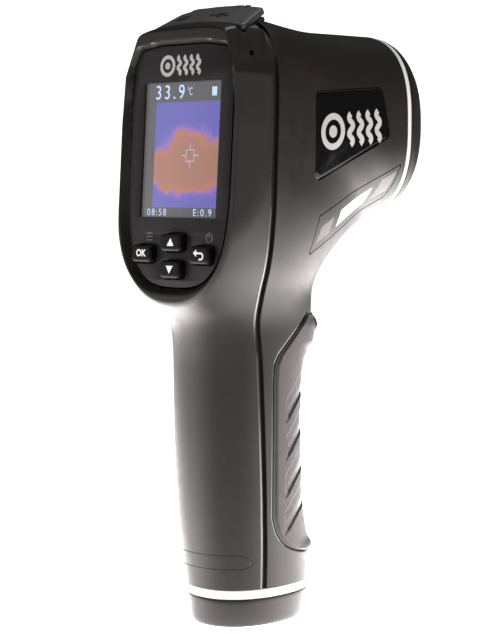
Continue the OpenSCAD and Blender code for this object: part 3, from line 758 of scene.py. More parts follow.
def polish_and_sheen(shell, paths, low, high):
    """Gives the bevel beside each path its own polished finish, with a slightly lighter colour than the shell
    as painted sheen.
    """
    for path in paths:
        tree = KDTree(len(path))
        for n, p in enumerate(path):
            tree.insert(Vector(p * MM), n)
        tree.balance()
        tangents = np.gradient(path, axis=0)
        for face in shell.data.polygons:
            near, n, distance = tree.find(face.center)
            if distance > (high + 1.2) * MM:
                continue
            offset = np.array(face.center - near) / MM
            offset -= tangents[n] * (offset @ tangents[n]) / (tangents[n] @ tangents[n])
            _, normal, _, _ = body_tree.find_nearest(face.center)
            if low - 0.1 < np.linalg.norm(offset) < high + 0.1 and normal.dot(face.normal) < 0.985:
                face.material_index = 1


def ring_prism(name, outline, width, low, high, to_part):
    """A cutter that leaves a groove of this width just inside an outline."""
    outer, inner = outline, inset(outline, width)
    rings = [raised(outer, low), raised(outer, high), raised(inner, high), raised(inner, low),
             raised(outer, low)]
    return loft(name, [to_part(r) for r in rings], caps=False, sharp=20)


def badge_outline(distance):
    return inset(rounded_polygon([[-1, 133.1], [35.3, 147.6], [32, 162.9], [-1, 160.3]], 2.2, 8), distance)


def label_outline():
    return rounded_polygon([[1, 111.8], [40, 128.9], [43, 139.8], [3, 123.7]], 0.5, 3)


def trigger_opening():
    return np.array([[7, 79.2], [40, 79.2], [40, 97.8], [16, 100.4], [7, 100.4]], float)


def make_badge(side):
    """A glossy panel set into the side of the head, with a plain mark: a lens ring and four heat waves."""
    name = "side_badge_right" if side > 0 else "side_badge_left"
    rings = []
    for distance, drop in ((0.1, 1.6), (0.1, 0.4), (0.15, 0.2), (0.28, 0.07), (0.5, 0.0)):
        rings.append([on_side(y, z, side, -0.4 - drop) for y, z in badge_outline(distance)])
    centre = badge_outline(0.5).mean(0)
    for share in np.linspace(0.92, 0.05, 14):
        rings.append([on_side(y, z, side, -0.4) for y, z in centre + (badge_outline(0.5) - centre) * share])
    panel = loft(name, [np.array(r) for r in rings], BADGE, "housing", sharp=40)
    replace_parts(panel, name)
    marks = [strip(f"{name}_mark_{n}", line, width, lambda y, z: on_side(y, z, side, -0.36), MARK)
             for n, (line, width) in enumerate(mark_lines((16.9, 149.6), 1.0, side))]
    join(f"{name}_mark", marks)


def mark_lines(at, size, side):
    """The plain mark's centre lines and half-widths: a lens ring with a dot, and four heat waves."""
    a = np.linspace(0, 2 * np.pi, 61)
    ring = np.column_stack([np.cos(a), np.sin(a)])
    slope = 0.10 * side if side else 0.0
    waves = []
    lines = []
    for n in range(4):
        s = np.linspace(-4.7, 4.7, 41)
        waves.append(np.column_stack([-1.2 + 4.6 * n + 0.95 * np.sin(s * 1.33), s]))
    shapes = [(ring * 4.5 + [-9.6, 0], 0.95), (ring * 0.9 + [-9.6, 0], 0.91)] + [(w, 0.95) for w in waves]
    for line, width in shapes:
        x, y = line[:, 0] * size * (1 if side >= 0 else -1), line[:, 1] * size
        lines.append((np.column_stack([x + at[0], y + at[1] + slope * x * (1 if side >= 0 else -1)]),
                      width * size))
    return lines


def strip(name, line, half_width, place, material, across_n=4):
    """A printed band along a centre line, laid on a surface by place(u, v)."""
    tangent = np.gradient(line, axis=0)
    tangent /= np.linalg.norm(tangent, axis=1)[:, None]
    normal = np.column_stack([-tangent[:, 1], tangent[:, 0]])
    offsets = np.linspace(-half_width, half_width, across_n + 1)
    points = np.array([place(*(p + n * o)) for p, n in zip(line, normal) for o in offsets])
    return new_piece(name, points, loft_faces(len(line), across_n + 1, caps=False, closed=False), material,
                     "housing")


def make_label():
    """A blank side label: an engraved outline, two pale boxes and a white strip with a small painted glow."""
    def patch(name, corners, material):
        (a, b, c, d) = (np.array(p, float) for p in corners)
        n = 12
        points = [on_side(*((a * (1 - u) + b * u) * (1 - v) + (d * (1 - u) + c * u) * v), 1, 0.02)
                  for v in np.linspace(0, 1, n) for u in np.linspace(0, 1, n)]
        return new_piece(name, points, loft_faces(n, n, caps=False, closed=False), material, "housing")

    strip_piece = patch("spec_label_strip", [[14.0, 120.2], [29.4, 127.2], [30.9, 132.2], [15.6, 125.3]],
                        PRINT_WHITE_PAINTED_GLOW)
    boxes = [patch("spec_label_box_front", [[32.5, 128.4], [39.0, 131.1], [41.0, 137.2], [34.6, 134.6]],
                   PRINT_GREY),
             patch("spec_label_box_rear", [[3.6, 115.4], [10.4, 118.3], [11.8, 123.4], [5.2, 120.4]],
                   PRINT_GREY)]
    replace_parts(strip_piece, "spec_label")
    return [strip_piece] + boxes


# ---- Display, overlay and keys ----

def display_place(points):
    return out_of(DISPLAY, points)


def plate(name, loops, low, high, bevel, place, material, body, segments=2):
    """A flat plate with holes and rounded edges, built from a filled curve. The first loop is its outline."""
    curve = bpy.data.curves.new(name, "CURVE")
    curve.dimensions = "2D"
    curve.fill_mode = "BOTH"
    curve.extrude = max((high - low) / 2 - bevel, 0) * MM
    curve.bevel_depth = bevel * MM
    curve.bevel_resolution = segments
    curve.offset = -bevel * MM
    for loop in loops:
        spline = curve.splines.new("POLY")
        spline.points.add(len(loop) - 1)
        for point, (x, y) in zip(spline.points, loop):
            point.co = (x * MM, y * MM, 0, 1)
        spline.use_cyclic_u = True
    return mesh_of_curve(name, curve, (low + high) / 2, place, material, body)


def mesh_of_curve(name, curve, middle, place, material, body):
    """Turns a flat curve or text into a mesh at its place."""
    flat = bpy.data.objects.new("flat", curve)
    bpy.context.scene.collection.objects.link(flat)
    bpy.context.view_layer.update()
    made = bpy.data.meshes.new_from_object(flat.evaluated_get(bpy.context.evaluated_depsgraph_get()))
    points = np.array([v.co for v in made.vertices]) / MM + [0, 0, middle]
    faces = [tuple(p.vertices) for p in made.polygons]
    bpy.data.objects.remove(flat)
    return new_piece(name, place(points), faces, material, body)


def figure(name, words, at, height, material, body, h, place=display_place, width=1.0, thick=0.03, bold=0.0,
           spacing=1.0):
    """Generic lettering, such as digits, as a thin raised print."""
    text = bpy.data.curves.new(name, "FONT")
    text.body = words
    text.size = 1.4 * height * MM
    text.extrude = thick / 2 * MM
    text.offset = bold * MM
    text.space_character = spacing
    text.align_x, text.align_y = "CENTER", "CENTER"

    def scaled(points):
        points = points * [width, 1, 1] + [at[0], at[1], 0]
        return place(points)

    return mesh_of_curve(name, text, h, scaled, material, body)


def make_overlay():
    outline = overlay_outline()
    window = rectangle(DISPLAY_SIZE[0], DISPLAY_SIZE[1], 0.25, steps=3)
    holes = [rectangle(KEY_SIZE[0] + 0.7, KEY_SIZE[1] + 0.7, 1.6, (x, z - DISPLAY_AT[2]))
             for x, z in KEYS.values()]
    overlay = plate("display_overlay", [outline, window] + holes, 0.0, OVERLAY_T, 0.12, display_place,
                    OVERLAY,
                    "housing")
    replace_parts(overlay, "display_overlay")
    prints = [strip(f"overlay_mark_{n}", line, width, flat_print, MARK)
              for n, (line, width) in enumerate(mark_lines((-1.0, 167.6), 0.58, 0))]
    join("overlay_mark", prints)
    menu = [strip(f"menu_{n}", np.array([[-12.4, 118.3 - n], [-10.0, 118.3 - n]]), 0.17, flat_print,
                  PRINT_PALE)
            for n in range(3)]
    a = np.radians(np.linspace(115, 425, 41))
    power = [strip("power_ring", np.column_stack([13.8 + 1.25 * np.cos(a), 117.3 + 1.25 * np.sin(a)]), 0.17,
                   flat_print, PRINT_PALE),
             strip("power_bar", np.array([[13.8, 117.5], [13.8, 119.1]]), 0.17, flat_print, PRINT_PALE)]
    join("overlay_symbols", menu + power)


def flat_print(x, z, h=OVERLAY_T + 0.03):
    return display_place(np.array([[x, z - DISPLAY_AT[2], h]]))[0]


def make_display():
    w, h = DISPLAY_SIZE[0] / 2 + 1.1, DISPLAY_SIZE[1] / 2 + 1.1
    rings = [raised(rectangle(2 * (w - d), 2 * (h - d), 0.5), z) for d, z in
             ((0.1, -1.3), (0, -1.2), (0, -0.15), (0.05, -0.06), (0.15, -0.03))]
    glass = loft("lcd_glass", [display_place(r) for r in rings], PICTURE, "housing")
    layer = glass.data.uv_layers.new(name="picture")
    local = into(DISPLAY, np.array([v.co for v in glass.data.vertices]) / MM)
    for corner in glass.data.loops:
        x, v = local[corner.vertex_index, :2]
        layer.data[corner.index].uv = (x / DISPLAY_SIZE[0] + 0.5, v / DISPLAY_SIZE[1] + 0.5)
    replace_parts(glass, "lcd_glass")
    lit = [figure("lit_value", "33.9", (-5.9, 16.9), 4.2, LIT, "housing", 0.0, width=0.95, bold=0.02,
                  spacing=1.35),
           figure("lit_unit", "°C", (2.5, 17.0), 2.3, LIT, "housing", 0.0, width=0.62),
           figure("lit_clock", "08:58", (-9.5, -18.35), 2.1, LIT, "housing", 0.0, width=1.0, spacing=1.3),
           figure("lit_emissivity", "E:0.9", (9.6, -18.35), 2.1, LIT, "housing", 0.0, width=1.05,
                  spacing=1.3)]

    def on_glass(x, v):
        return display_place(np.array([[x, v, 0.0]]))[0]

    card = strip("lit_card", np.array([[12.6, 15.6], [12.6, 18.2]]), 1.0, on_glass, LIT)
    centre, box, tick, line = np.array([3.6, -1.6]), 1.65, 3.55, 0.07
    square = centre + np.array([[-box, -box], [box, -box], [box, box], [-box, box], [-box, -box]])
    cross = [strip(f"cross_{n}", square[n:n + 2], line, on_glass, LIT_DIM) for n in range(4)]
    for n, way in enumerate(np.array([[1.0, 0], [0, 1], [-1, 0], [0, -1]])):
        cross.append(strip(f"tick_{n}", centre + np.array([way * box, way * tick]), line, on_glass, LIT_DIM))
    join("display_figures", lit + [card] + cross)


def make_keys():
    for name, (x, z) in KEYS.items():
        at = (x, z - DISPLAY_AT[2])
        profile = ((0.0, -0.4), (0.0, KEY_PROUD - 0.75), (0.06, KEY_PROUD - 0.42), (0.22, KEY_PROUD - 0.18),
                   (0.5, KEY_PROUD - 0.04), (0.9, KEY_PROUD))
        rings = [raised(inset(rectangle(KEY_SIZE[0], KEY_SIZE[1], 1.45, at, 10), d), h) for d, h in profile]
        inner = inset(rectangle(KEY_SIZE[0], KEY_SIZE[1], 1.45, at, 10), 0.9)
        for share in (0.75, 0.5, 0.25, 0.05):
            rings.append(raised(at + (inner - at) * share, KEY_PROUD - 0.05 * (1 - share)))
        body = f"{name}_button"
        cap = loft(f"{name}_key", [display_place(r) for r in rings], KEY, body)
        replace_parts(cap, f"{name}_key")
        glyph(name, at, body)


def glyph(name, at, body):
    """The white print on a key, with a small painted glow."""
    top = KEY_PROUD + 0.01
    at = np.array(at)

    def flat(outlines):
        return plate(f"{name}_glyph", [np.array(o, float) + at for o in outlines], top - 0.03, top + 0.03,
                     0.0,
                     display_place, PRINT_WHITE_PAINTED_GLOW, body)

    if name == "ok":
        figure("ok_glyph", "OK", at, 2.0, PRINT_WHITE_PAINTED_GLOW, body, top, width=0.98, bold=0.08)
    elif name == "up":
        flat([[[-1.45, -1.05], [1.45, -1.05], [0, 1.25]]])
    elif name == "down":
        flat([[[-1.45, 1.05], [0, -1.25], [1.45, 1.05]]])
    else:
        a = np.radians(np.linspace(90, -90, 13))
        outer = np.column_stack([0.9 + 1.15 * np.cos(a), -0.35 + 1.15 * np.sin(a)])
        inner = np.column_stack([0.9 + 0.62 * np.cos(a), -0.35 + 0.62 * np.sin(a)])[::-1]
        hook = [[-0.9, 0.8]] + list(outer) + [[0.2, -1.5], [0.2, -0.97]] + list(inner) + [[-0.9, 0.27]]
        arrow = [[-2.3, 0.53], [-0.9, 1.6], [-0.9, 0.8]]
        flat([(arrow + hook[1:] + [[-0.9, 0.27], [-0.9, -0.5]])[::-1]])


# ---- Port flap ----

def make_flap():
    plan = rounded_polygon([[-19.9, 0], [19.9, 0], [17.2, 13.2], [-17.2, 13.2]], 1.4, 8)
    low, high = 0.0, FLAP_T
    profile = [(4.0, low), (1.2, low), (0.35, low), (0.08, low + 0.12), (0, low + 0.35), (0, high - 0.55),
               (0.1, high - 0.25), (0.32, high - 0.07), (0.7, high), (1.4, high), (2.6, high), (4.0, high)]
    rings = []
    for distance, h in profile:
        rings.append(arched(raised(even_outline(inset(plan, distance), 200), h)))
    centre = np.array([0, 6.6])
    core = even_outline(inset(plan, 4.0), 200)
    top = [arched(raised(centre + (core - centre) * [s, s], high)) for s in (0.85, 0.65, 0.45, 0.25, 0.06)]
    bottom = [arched(raised(centre + (core - centre) * [s, s], low)) for s in (0.06, 0.25, 0.45, 0.65, 0.85)]
    flap = loft("port_flap", [out_of(FLAP, r) for r in bottom + rings + top], FLAP_RUBBER, "flap",
                sharp=50)
    hinge = np.array([0, *FLAP_HINGE])
    turned_barrel = rod_along_x("flap_barrel", 9.4, 1.5, out_of(FLAP, hinge[None])[0], FLAP_RUBBER, "flap")
    plugs = [out_of_box("flap_plug_usb", (2.6, 4.3, -1.1), (10.0, 6.9, 0.3), FLAP_RUBBER, "flap"),
             out_of_box("flap_plug_card", (-14.2, 5.0, -1.1), (-3.2, 6.2, 0.1), FLAP_RUBBER, "flap")]
    join("flap_underside", [turned_barrel] + plugs)
    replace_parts(flap, "port_flap")
    icons = []
    for outline in flap_symbols():
        icons.append(plate(f"flap_symbol_{len(icons)}", outline, FLAP_T - 0.1, FLAP_T + 0.22, 0.08,
                           lambda p: out_of(FLAP, arched(p)), SEAL, "flap"))
    join("flap_symbols", icons)


def arched(points):
    """Bends a flat piece of the flap over its arch."""
    points = points.copy()
    points[:, 2] += np.sqrt(FLAP_ARCH_R ** 2 - points[:, 0] ** 2) - FLAP_ARCH_R
    return points


def even_outline(outline, n):
    """The same closed outline with n evenly spaced points."""
    closed = np.vstack([outline, outline[:1]])
    run = np.concatenate([[0], np.cumsum(np.linalg.norm(np.diff(closed, axis=0), axis=1))])
    at = np.linspace(0, run[-1], n, endpoint=False)
    return np.column_stack([np.interp(at, run, closed[:, k]) for k in range(2)])


def flap_symbols():
    """A card outline with contacts, and a plug with its cord."""
    card = rounded_polygon([[-10.9, 3.9], [-6.5, 3.9], [-6.5, 6.9], [-9.6, 6.9], [-10.9, 6.0]], 0.25, 3)
    contacts = [rectangle(0.34, 1.0, 0.1, (-9.2 + 0.75 * n, 5.9), 2) for n in range(4)]
    stem = rectangle(5.6, 0.42, 0.2, (6.4, 5.4), 3)
    head = rounded_polygon([[9.0, 4.6], [10.4, 5.4], [9.0, 6.2]], 0.12, 2)
    knob = rectangle(1.3, 1.3, 0.6, (3.8, 5.4), 6)
    arm_up = rounded_polygon([[5.2, 5.4], [6.5, 6.6], [8.0, 6.6], [8.0, 7.0], [6.3, 7.0], [4.8, 5.5]],
                             0.08, 2)
    arm_down = rounded_polygon([[5.6, 5.4], [6.7, 4.2], [7.9, 4.2], [7.9, 3.8], [6.5, 3.8], [5.2, 5.3]][::-1],
                               0.08, 2)
    return [[card] + contacts, [stem], [head], [knob], [arm_up], [arm_down]]


def rod_along_x(name, half_length, radius, centre, material, body):
    a = np.linspace(0, 2 * np.pi, 48, endpoint=False)
    rings = []
    for x, r in ((-half_length, radius - 0.2), (-half_length + 0.2, radius), (half_length - 0.2, radius),
                 (half_length, radius - 0.2)):
        rings.append(np.column_stack([np.full(48, x), r * np.cos(a), r * np.sin(a)]) + centre)
    return loft(name, rings, material, body)


def out_of_box(name, low, high, material, body):
    (x0, y0, z0), (x1, y1, z1) = low, high
    ring = rectangle(x1 - x0, y1 - y0, 0.35, ((x0 + x1) / 2, (y0 + y1) / 2), 4)
    return loft(name, [out_of(FLAP, raised(ring, z)) for z in (z0, z1)], material, body)


def make_port_tray():
    outline = rectangle(36.4, 11.2, 1.0, (0, 5.9), 6)
    usb = rectangle(7.7, 2.9, 0.7, (6.4, 5.7), 5)
    card = rectangle(11.5, 1.5, 0.3, (-8.7, 5.65), 4)
    tray = plate("port_tray", [outline, usb, card], -1.35, -0.35, 0.12, lambda p: out_of(FLAP, arched(p)),
                 SEAL,
                 "housing")
    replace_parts(tray, "port_tray")


# ---- Nose ----

def nose_ring_points(level, n=200):
    y, w, h, p = level
    outline = oval(w, h, h, p, p, n)
    return np.column_stack([outline[:, 0], np.full(n, y), outline[:, 1] + NOSE_Z])


def make_nose():
    ring = loft("nose_ring", [nose_ring_points(level) for level in (
        (NOSE_Y - 0.8, 23.2, 26.5, 2.75), (NOSE_Y + 0.05, 24.7, 28.05, 2.75),
        (NOSE_Y + 0.2, 24.95, 28.3, 2.75),
        (NOSE_Y + 1.2, 25.0, 28.35, 2.75), (46.95, 24.95, 28.25, 2.75), (47.15, 24.7, 28.0, 2.75),
        (47.6, 23.4, 26.7, 2.75))], RING, "housing")
    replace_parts(ring, "nose_ring")
    outer = [(46.9, 24.2, 27.4, 2.75), (47.2, 24.6, 27.8, 2.75), (47.5, 24.9, 28.1, 2.75),
             (48.2, 24.95, 28.15, 2.74),
             (49.5, 24.7, 27.8, 2.72), (51, 24.2, 27.2, 2.68), (52.5, 23.6, 26.5, 2.62),
             (54, 22.8, 25.7, 2.57),
             (55.5, 21.9, 24.75, 2.52), (57, 20.8, 23.6, 2.47), (58.3, 19.6, 22.3, 2.42),
             (59.4, 18.4, 21.0, 2.37),
             (60.1, 17.4, 19.9, 2.33), (60.4, 16.8, 19.3, 2.3)]
    inner = [(60.35, 16.3, 18.8, 2.3), (60.0, 15.9, 18.4, 2.3), (58.0, 15.5, 18.0, 2.3),
             (55.0, 14.9, 17.4, 2.3),
             (52.7, 14.4, 16.9, 2.3), (52.4, 14.3, 16.8, 2.3), (46.9, 14.3, 16.8, 2.3),
             (46.9, 24.2, 27.4, 2.75)]
    bezel = loft("nose_bezel", [nose_ring_points(level) for level in outer + inner], NOSE, "housing",
                 caps=False, sharp=40)
    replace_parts(bezel, "nose_bezel")
    holes = [oval(5.25, 5.25, 5.25, 2, 2, 64) + [0, 9.7], oval(8.25, 8.25, 8.25, 2, 2, 80) + [0, -6.9]]
    holes += [oval(2.25, 2.25, 2.25, 2, 2, 40) + [x, 2.6] for x in (-10.2, 10.2)]
    plate_piece = plate("front_plate", [oval(14.5, 17.0, 17.0, 2.3, 2.3)] + holes, PLATE_Y, PLATE_Y + 2, 0.2,
                        lambda p: np.column_stack([p[:, 0], p[:, 2], p[:, 1] + NOSE_Z]), NOSE, "housing")
    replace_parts(plate_piece, "front_plate")
    dome = [(49.2, 6.35)] + [(49.6 + 1.3 * math.cos(a), 6.4 * math.sin(a))
                             for a in np.radians(np.linspace(90, 4, 14))]
    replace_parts(turned("spot_lens", dome, (0, 0, 145), LENS_MILKY, "housing"), "spot_lens")
    bulge = [(50.6, 3.35)] + [(50.9 + 1.1 * math.cos(a), 3.4 * math.sin(a))
                              for a in np.radians(np.linspace(90, 4, 14))]
    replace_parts(turned("imager_lens", bulge, (0, 0, 161.6), LENS_DARK, "housing"), "imager_lens")
    for name, radius, bore, z, start in (("spot_tube", 8.1, 6.45, 145, 31.5),
                                         ("imager_barrel", 5.1, 3.45, 161.6, 38.2)):
        end = 53.3
        profile = [(start, radius), (end - 0.3, radius), (end, radius - 0.3), (end, bore + 0.9),
                   (end - 0.4, bore + 0.5)]
        step = -0.5
        for _ in range(3):
            profile += [(end + step, bore + 0.15), (end + step - 0.1, bore + 0.35)]
            step -= 0.45
        profile += [(end - 2.2, bore), (start, bore), (start, radius)]
        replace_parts(turned(name, profile, (0, 0, z), NOSE, "housing", sharp=25), name)


# ---- Grip and trigger ----

def grip_half_angle(t):
    """The angle on the right of a section at which the rubber's edge lies, or None outside the rubber."""
    angles = np.radians(np.linspace(-80, 89, 400))
    ring = section_curve(t, angles)
    edge = np.interp(ring[:, 2], GRIP_EDGE[:, 0], GRIP_EDGE[:, 1])
    gap = ring[:, 1] - edge
    change = np.nonzero((gap[:-1] < 0) & (gap[1:] >= 0))[0]
    if len(change) == 0:
        return None
    k = change[0]
    return angles[k] + (angles[k + 1] - angles[k]) * gap[k] / (gap[k] - gap[k + 1])


def make_grip():
    columns = 190
    low, high = 0.62, 6.0
    rows = np.array([t for t in np.linspace(low, high, 420)
                     if GRIP_EDGE[0, 0] < section_at(t)[1] < GRIP_EDGE[-1, 0]])
    points, edge_right = [], []
    for i, t in enumerate(rows):
        start = grip_half_angle(t)
        dense = section_curve(t, np.linspace(start, np.pi - start, 500))
        run = np.concatenate([[0], np.cumsum(np.linalg.norm(np.diff(dense, axis=0), axis=1))])
        total = run[-1]
        rim = np.array([0, 0.15, 0.35, 0.55, 0.8, 1.2])
        at = np.concatenate([rim, np.linspace(1.2, total - 1.2, columns - 2 * len(rim) + 2)[1:-1],
                             (total - rim)[::-1]])
        ring = np.column_stack([np.interp(at, run, dense[:, k]) for k in range(3)])
        centre = np.array([0, ring[:, 1].min(), ring[:, 2].mean()])
        out = ring - centre
        out[:, 2] = 0
        out /= np.linalg.norm(out, axis=1)[:, None]
        edge = np.minimum(at, total - at)
        end = min(i, len(rows) - 1 - i) * 0.19
        roll = np.minimum(smooth_step(np.clip(edge - 0.3, 0, None) / 0.8), smooth_step(end / 0.7))
        beak = 0.9 * np.exp(-((ring[:, 2] - 22.3) / 1.8) ** 2) * smooth_step((ring[:, 1] - 4) / 10)
        rest = 1.1 * smooth_step((ring[:, 2] - 82.5) / 3) * smooth_step((94 - ring[:, 2]) / 4)
        dip = -0.7 * np.exp(-((ring[:, 2] - 78) / 3.5) ** 2)
        front = smooth_step((ring[:, 1] - 4) / 8)
        lift = (-0.7 + 1.2 * np.sqrt(np.clip(roll, 0, 1))
                + (grip_relief(ring) + beak + (rest + dip) * front) * roll)
        points.append(ring + out * lift[:, None])
        edge_right.append(dense[0])
    grid = np.array(points)
    inner = grid.copy()
    faces = loft_faces(len(rows), grid.shape[1], caps=False, closed=False)
    rubber = new_piece("grip_rubber", inner.reshape(-1, 3), faces, GRIP, None, sharp=70)
    thick = rubber.modifiers.new("thick", "SOLIDIFY")
    thick.thickness, thick.offset = 0.5 * MM, -1
    bpy.context.view_layer.update()
    rubber.data = bpy.data.meshes.new_from_object(rubber.evaluated_get(bpy.context.evaluated_depsgraph_get()))
    rubber.modifiers.clear()
    cut(rubber, [prism("opening", trigger_opening(), -8, 8, across)])
    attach(rubber, "housing")
    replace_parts(rubber, "grip_rubber")
    paths = [np.array(edge_right) * [side, 1, 1] for side in (1, -1)]
    cut(front_shell, [along_path("edge", path, chamfer(0.25, -1.15, 0.5)) for path in paths])
    # The bevel beside the rubber takes the polished finish and its painted sheen.
    polish_and_sheen(front_shell, paths, 0.0, 1.15)


def grip_relief(ring):
    """Finger pads: chevrons that rise towards a slanted notch, four of them, 12 mm apart."""
    y, z = ring[:, 1], ring[:, 2]
    height = z - PAD_Z - 0.95 * (7 * np.tanh(y / 7) - 1.5)
    s = np.where(height < 3.2 * PAD_PITCH + PAD_TALL, (height + 1.5) % PAD_PITCH - 1.5, -9.0)
    s = np.where(height < -1.5, -9.0, s)
    inside = (smooth_step((s + 0.1) / 0.35) * smooth_step((PAD_TALL - s) / 0.3)
              * smooth_step((y - PAD_REAR) / 0.3))
    front = smooth_step((y - PAD_REAR - 1.4) / 0.6)
    depth = 0.22 + 0.75 * front * np.clip(1 - s / (0.55 * PAD_TALL), 0, 1) ** 1.6
    return -depth * inside


def make_trigger():
    """The lever: a rounded front that flares to its tip, on the pin above it."""
    heights = np.array([99.6, 98.5, 97, 95, 93, 91.5, 90.2, 89.2, 88.2, 87, 85.5, 84, 82.6, 81.8, 81.4])
    fronts = np.array([15.6, 17.4, 19.2, 21.4, 24.0, 26.2, 27.2, 27.6, 27.4, 26.4, 24.2, 22.0, 19.8, 18.2,
                       16.6])
    z = np.linspace(99.6, 81.4, 60)
    y = np.interp(z, heights[::-1], fronts[::-1])
    y = np.convolve(np.pad(y, 2, mode="edge"), [0.1, 0.2, 0.4, 0.2, 0.1], "valid")
    a = np.radians(np.linspace(0, 180, 41))
    rings = []
    for height, front in zip(z, y):
        shrink = 0.35 * (1 - smooth_step(min(height - 81.4, 99.6 - height) / 0.8))
        w = 7.5 - shrink
        n = 3.0
        radius = (np.abs(np.cos(a)) ** n + np.abs(np.sin(a)) ** n) ** (-1 / n)
        arc = np.column_stack([w * radius * np.cos(a), 11.2 + (front - shrink - 11.2) * radius * np.sin(a)])
        back = np.array([[-w, 10.2], [w, 10.2]])
        rings.append(raised(np.vstack([arc, back]), height))
    lever = loft("trigger", rings, NOSE, sharp=50)
    cut(lever, [turned("spring_pocket", [(8.5, 3.2), (13.6, 3.2)], (0, 0, 86.2), None, None)])
    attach(lever, "trigger_lever")
    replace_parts(lever, "trigger")


# ---- Base ----

def standing_ring(level, n=200):
    z, w, d, p = level
    return raised(oval(w, d, d, p, p, n), z)


def make_base():
    ring = loft("base_ring", [standing_ring(level) for level in (
        (8.7, 14.4, 19.6, 2.25), (8.85, 14.95, 20.15, 2.25), (9.0, 15.15, 20.35, 2.25),
        (10.3, 15.38, 20.55, 2.25),
        (11.5, 15.5, 20.7, 2.25), (11.7, 15.35, 20.55, 2.25), (11.9, 14.6, 19.8, 2.25))], RING, "housing")
    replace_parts(ring, "base_ring")
    low = [(0.0, 12.4, 17.6, 2.2), (0.0, 13.0, 18.2, 2.2), (0.12, 13.5, 18.7, 2.2), (0.5, 13.95, 19.15, 2.2),
           (1.1, 14.3, 19.5, 2.2), (2.2, 14.65, 19.85, 2.2), (4.5, 15.0, 20.2, 2.22),
           (7.0, 15.25, 20.45, 2.24),
           (8.3, 15.3, 20.5, 2.25), (8.6, 15.2, 20.4, 2.25), (8.75, 14.9, 20.1, 2.25)]
    cap = loft("base_cap", [standing_ring(level) for level in low], None, None, sharp=45)
    cutters = [turned("insert_hole", [(-1, 5.05), (12, 5.05)], (0, 0, 0), None, None, axis="z")]
    for y in (-14.5, 14.5):
        cutters += [turned("screw_hole", [(-1, 2.7), (2.4, 2.7), (2.4, 1.5), (12, 1.5)], (0, y, 0), None,
                           None, axis="z")]
    cut(cap, cutters)
    cap.data.materials.append(NOSE)
    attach(cap, "housing")
    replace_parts(cap, "base_cap")
    thread = [(0.0, 4.95), (0.15, 5.0), (9.4, 5.0), (9.4, 0.1), (8.0, 0.1), (8.0, 2.62)]
    turns = 6
    for n in range(turns):
        top = 8.0 - n * 8.0 / turns
        thread += [(top - 0.35, 2.62), (top - 0.66, 3.05), (top - 0.97, 2.62)]
    thread += [(0.3, 2.75), (0.0, 3.1), (0.0, 4.95)]
    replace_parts(turned("tripod_insert", thread, (0, 0, 0), BRASS, "housing", axis="z", sharp=25),
                "tripod_insert")


def dress_cad_nodes():
    """Materials for the CAD nodes that show or stay inside as they are."""
    finishes = {STEEL: ("lcd_carrier", "board_screws", "usb_socket", "card_socket", "spot_sensor",
                        "trigger_pin",
                        "trigger_spring", "base_screws"),
                MAT: ("keypad_mat",), BOARD: ("main_board", "sensor_board"),
                CHIP: ("board_parts", "imager_core", "trigger_switch", "battery_cradle"),
                BRASS: ("laser_left", "laser_right"), CABLE: ("ribbon_cable",), CELL: ("battery_cell",),
                SHELL: ("flap_rod", "handle_inlay")}
    for material, names in finishes.items():
        for name in names:
            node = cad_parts[name]
            node.data.materials.clear()
            node.data.materials.append(material)


# ---- Studio ----

def make_camera():
    """The camera stands behind the object's right shoulder, as the photograph's did."""
    azimuth, elevation, roll = (math.radians(v) for v in (44.02, 4.077, 0.205))
    target, distance = Vector((0, -3.857, 92.63)) * MM, 555.5 * MM
    back = Vector((math.sin(azimuth) * math.cos(elevation), -math.cos(azimuth) * math.cos(elevation),
                   math.sin(elevation)))
    data = bpy.data.cameras.new("camera")
    data.sensor_width = 36
    data.lens = 1823.3 / 634 * 36
    data.clip_start, data.clip_end = 0.01, 50
    camera = bpy.data.objects.new("camera", data)
    bpy.context.scene.collection.objects.link(camera)
    camera.location = target + back * distance
    camera.rotation_mode = "QUATERNION"
    tilt = Matrix.Rotation(roll, 4, "Z").to_quaternion()
    camera.rotation_quaternion = (-back).to_track_quat("-Z", "Y") @ tilt
    bpy.context.scene.camera = camera


def area_light(name, at, look_at, size, power, colour=(1, 1, 1)):
    data = bpy.data.lights.new(name, "AREA")
    data.shape, data.size, data.size_y, data.energy, data.color = "RECTANGLE", size[0], size[1], power, colour
    lamp = bpy.data.objects.new(name, data)
    bpy.context.scene.collection.objects.link(lamp)
    lamp.location = Vector(at)
    lamp.rotation_euler = (Vector(look_at) - Vector(at)).to_track_quat("-Z", "Y").to_euler()


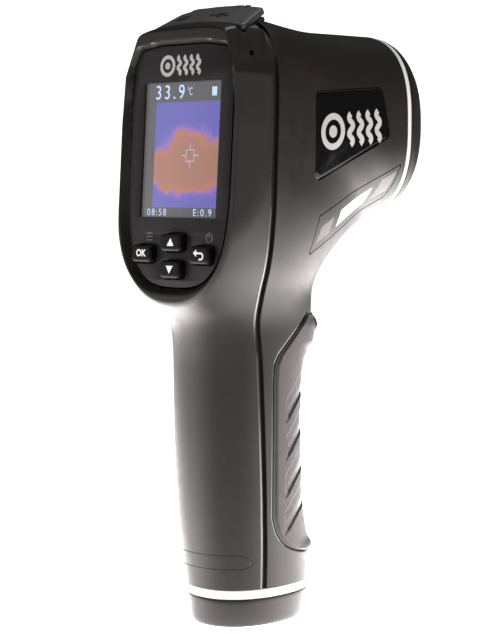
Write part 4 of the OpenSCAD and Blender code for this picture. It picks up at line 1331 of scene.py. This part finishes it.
def stage_material(name, colour, glow, hot):
    m = Nodes(name)
    m.put(m.shader.inputs["Base Color"],
          m.mix(m.noise(300.0), rgb(*(c * 0.98 for c in colour)), rgb(*colour)))
    m.put(m.shader.inputs["Roughness"], m.spread(m.noise(80.0), 0, 1, 0.75, 0.85))
    m.shader.inputs["Emission Color"].default_value = rgb(1, 0.952, 0.944)
    place = m.coordinates.outputs["Object"]
    far = m.add("ShaderNodeVectorMath", {0: place}, operation="LENGTH").outputs["Value"]
    behind = m.add("ShaderNodeVectorMath", {0: place, 1: (-0.695, 0.719, 0)},
                   operation="DOT_PRODUCT").outputs["Value"]
    near = m.spread(far, 0.08, 0.6, 1, 0)
    side = m.spread(m.math("DIVIDE", behind, m.math("ADD", far, 0.02)), -0.75, 0.45, 0, 1)
    m.put(m.shader.inputs["Emission Strength"], m.spread(m.math("MULTIPLY", near, side), 0, 1, glow, hot))
    return m.material


# The studio paper: its colour, its own glow, and the glow of the bright floor behind the object.
PAPER = (0.9, 0.9, 0.9)
PAPER_GLOW = 1.07
HOT_GLOW = 9.0


def make_studio():
    floor_size, wall_radius, wall_height = 1100, 1700, 2600
    floor = new_piece("floor", [[-floor_size, -floor_size, -0.02], [floor_size, -floor_size, -0.02],
                                [floor_size, floor_size, -0.02], [-floor_size, floor_size, -0.02]],
                      [(0, 1, 2, 3)],
                      stage_material("floor_paper", PAPER, PAPER_GLOW, HOT_GLOW), None)
    a = np.linspace(0, 2 * np.pi, 64, endpoint=False)
    circle = np.column_stack([wall_radius * np.cos(a), wall_radius * np.sin(a)])
    wall = loft("backdrop", [raised(circle, -900), raised(circle, wall_height)],
                stage_material("backdrop_paper", PAPER, PAPER_GLOW, PAPER_GLOW), None, caps=False)
    wall.visible_diffuse = wall.visible_glossy = wall.visible_shadow = False
    world = bpy.data.worlds.new("studio")
    bpy.context.scene.world = world
    world.use_nodes = True
    world.node_tree.nodes["Background"].inputs[0].default_value = rgb(1, 1, 1)
    world.node_tree.nodes["Background"].inputs[1].default_value = 0.03
    area_light("left_soft", (-0.75, -0.55, 0.35), (0, 0, 0.08), (0.5, 0.7), 0.6)
    area_light("right_soft", (0.95, 0.15, 0.25), (0, 0, 0.07), (0.5, 0.6), 0.6)
    area_light("top_soft", (0.1, 0.1, 1.0), (0, 0, 0.1), (0.6, 0.5), 5.0)
    bpy.context.scene.view_settings.view_transform = "Standard"
    bpy.context.scene.view_settings.look = "None"


make_camera()
rear_shell, front_shell = make_shells()
make_badge(1)
make_badge(-1)
make_label()
make_overlay()
make_display()
make_keys()
make_flap()
make_port_tray()
make_nose()
make_grip()
make_trigger()
make_base()
dress_cad_nodes()
make_studio()
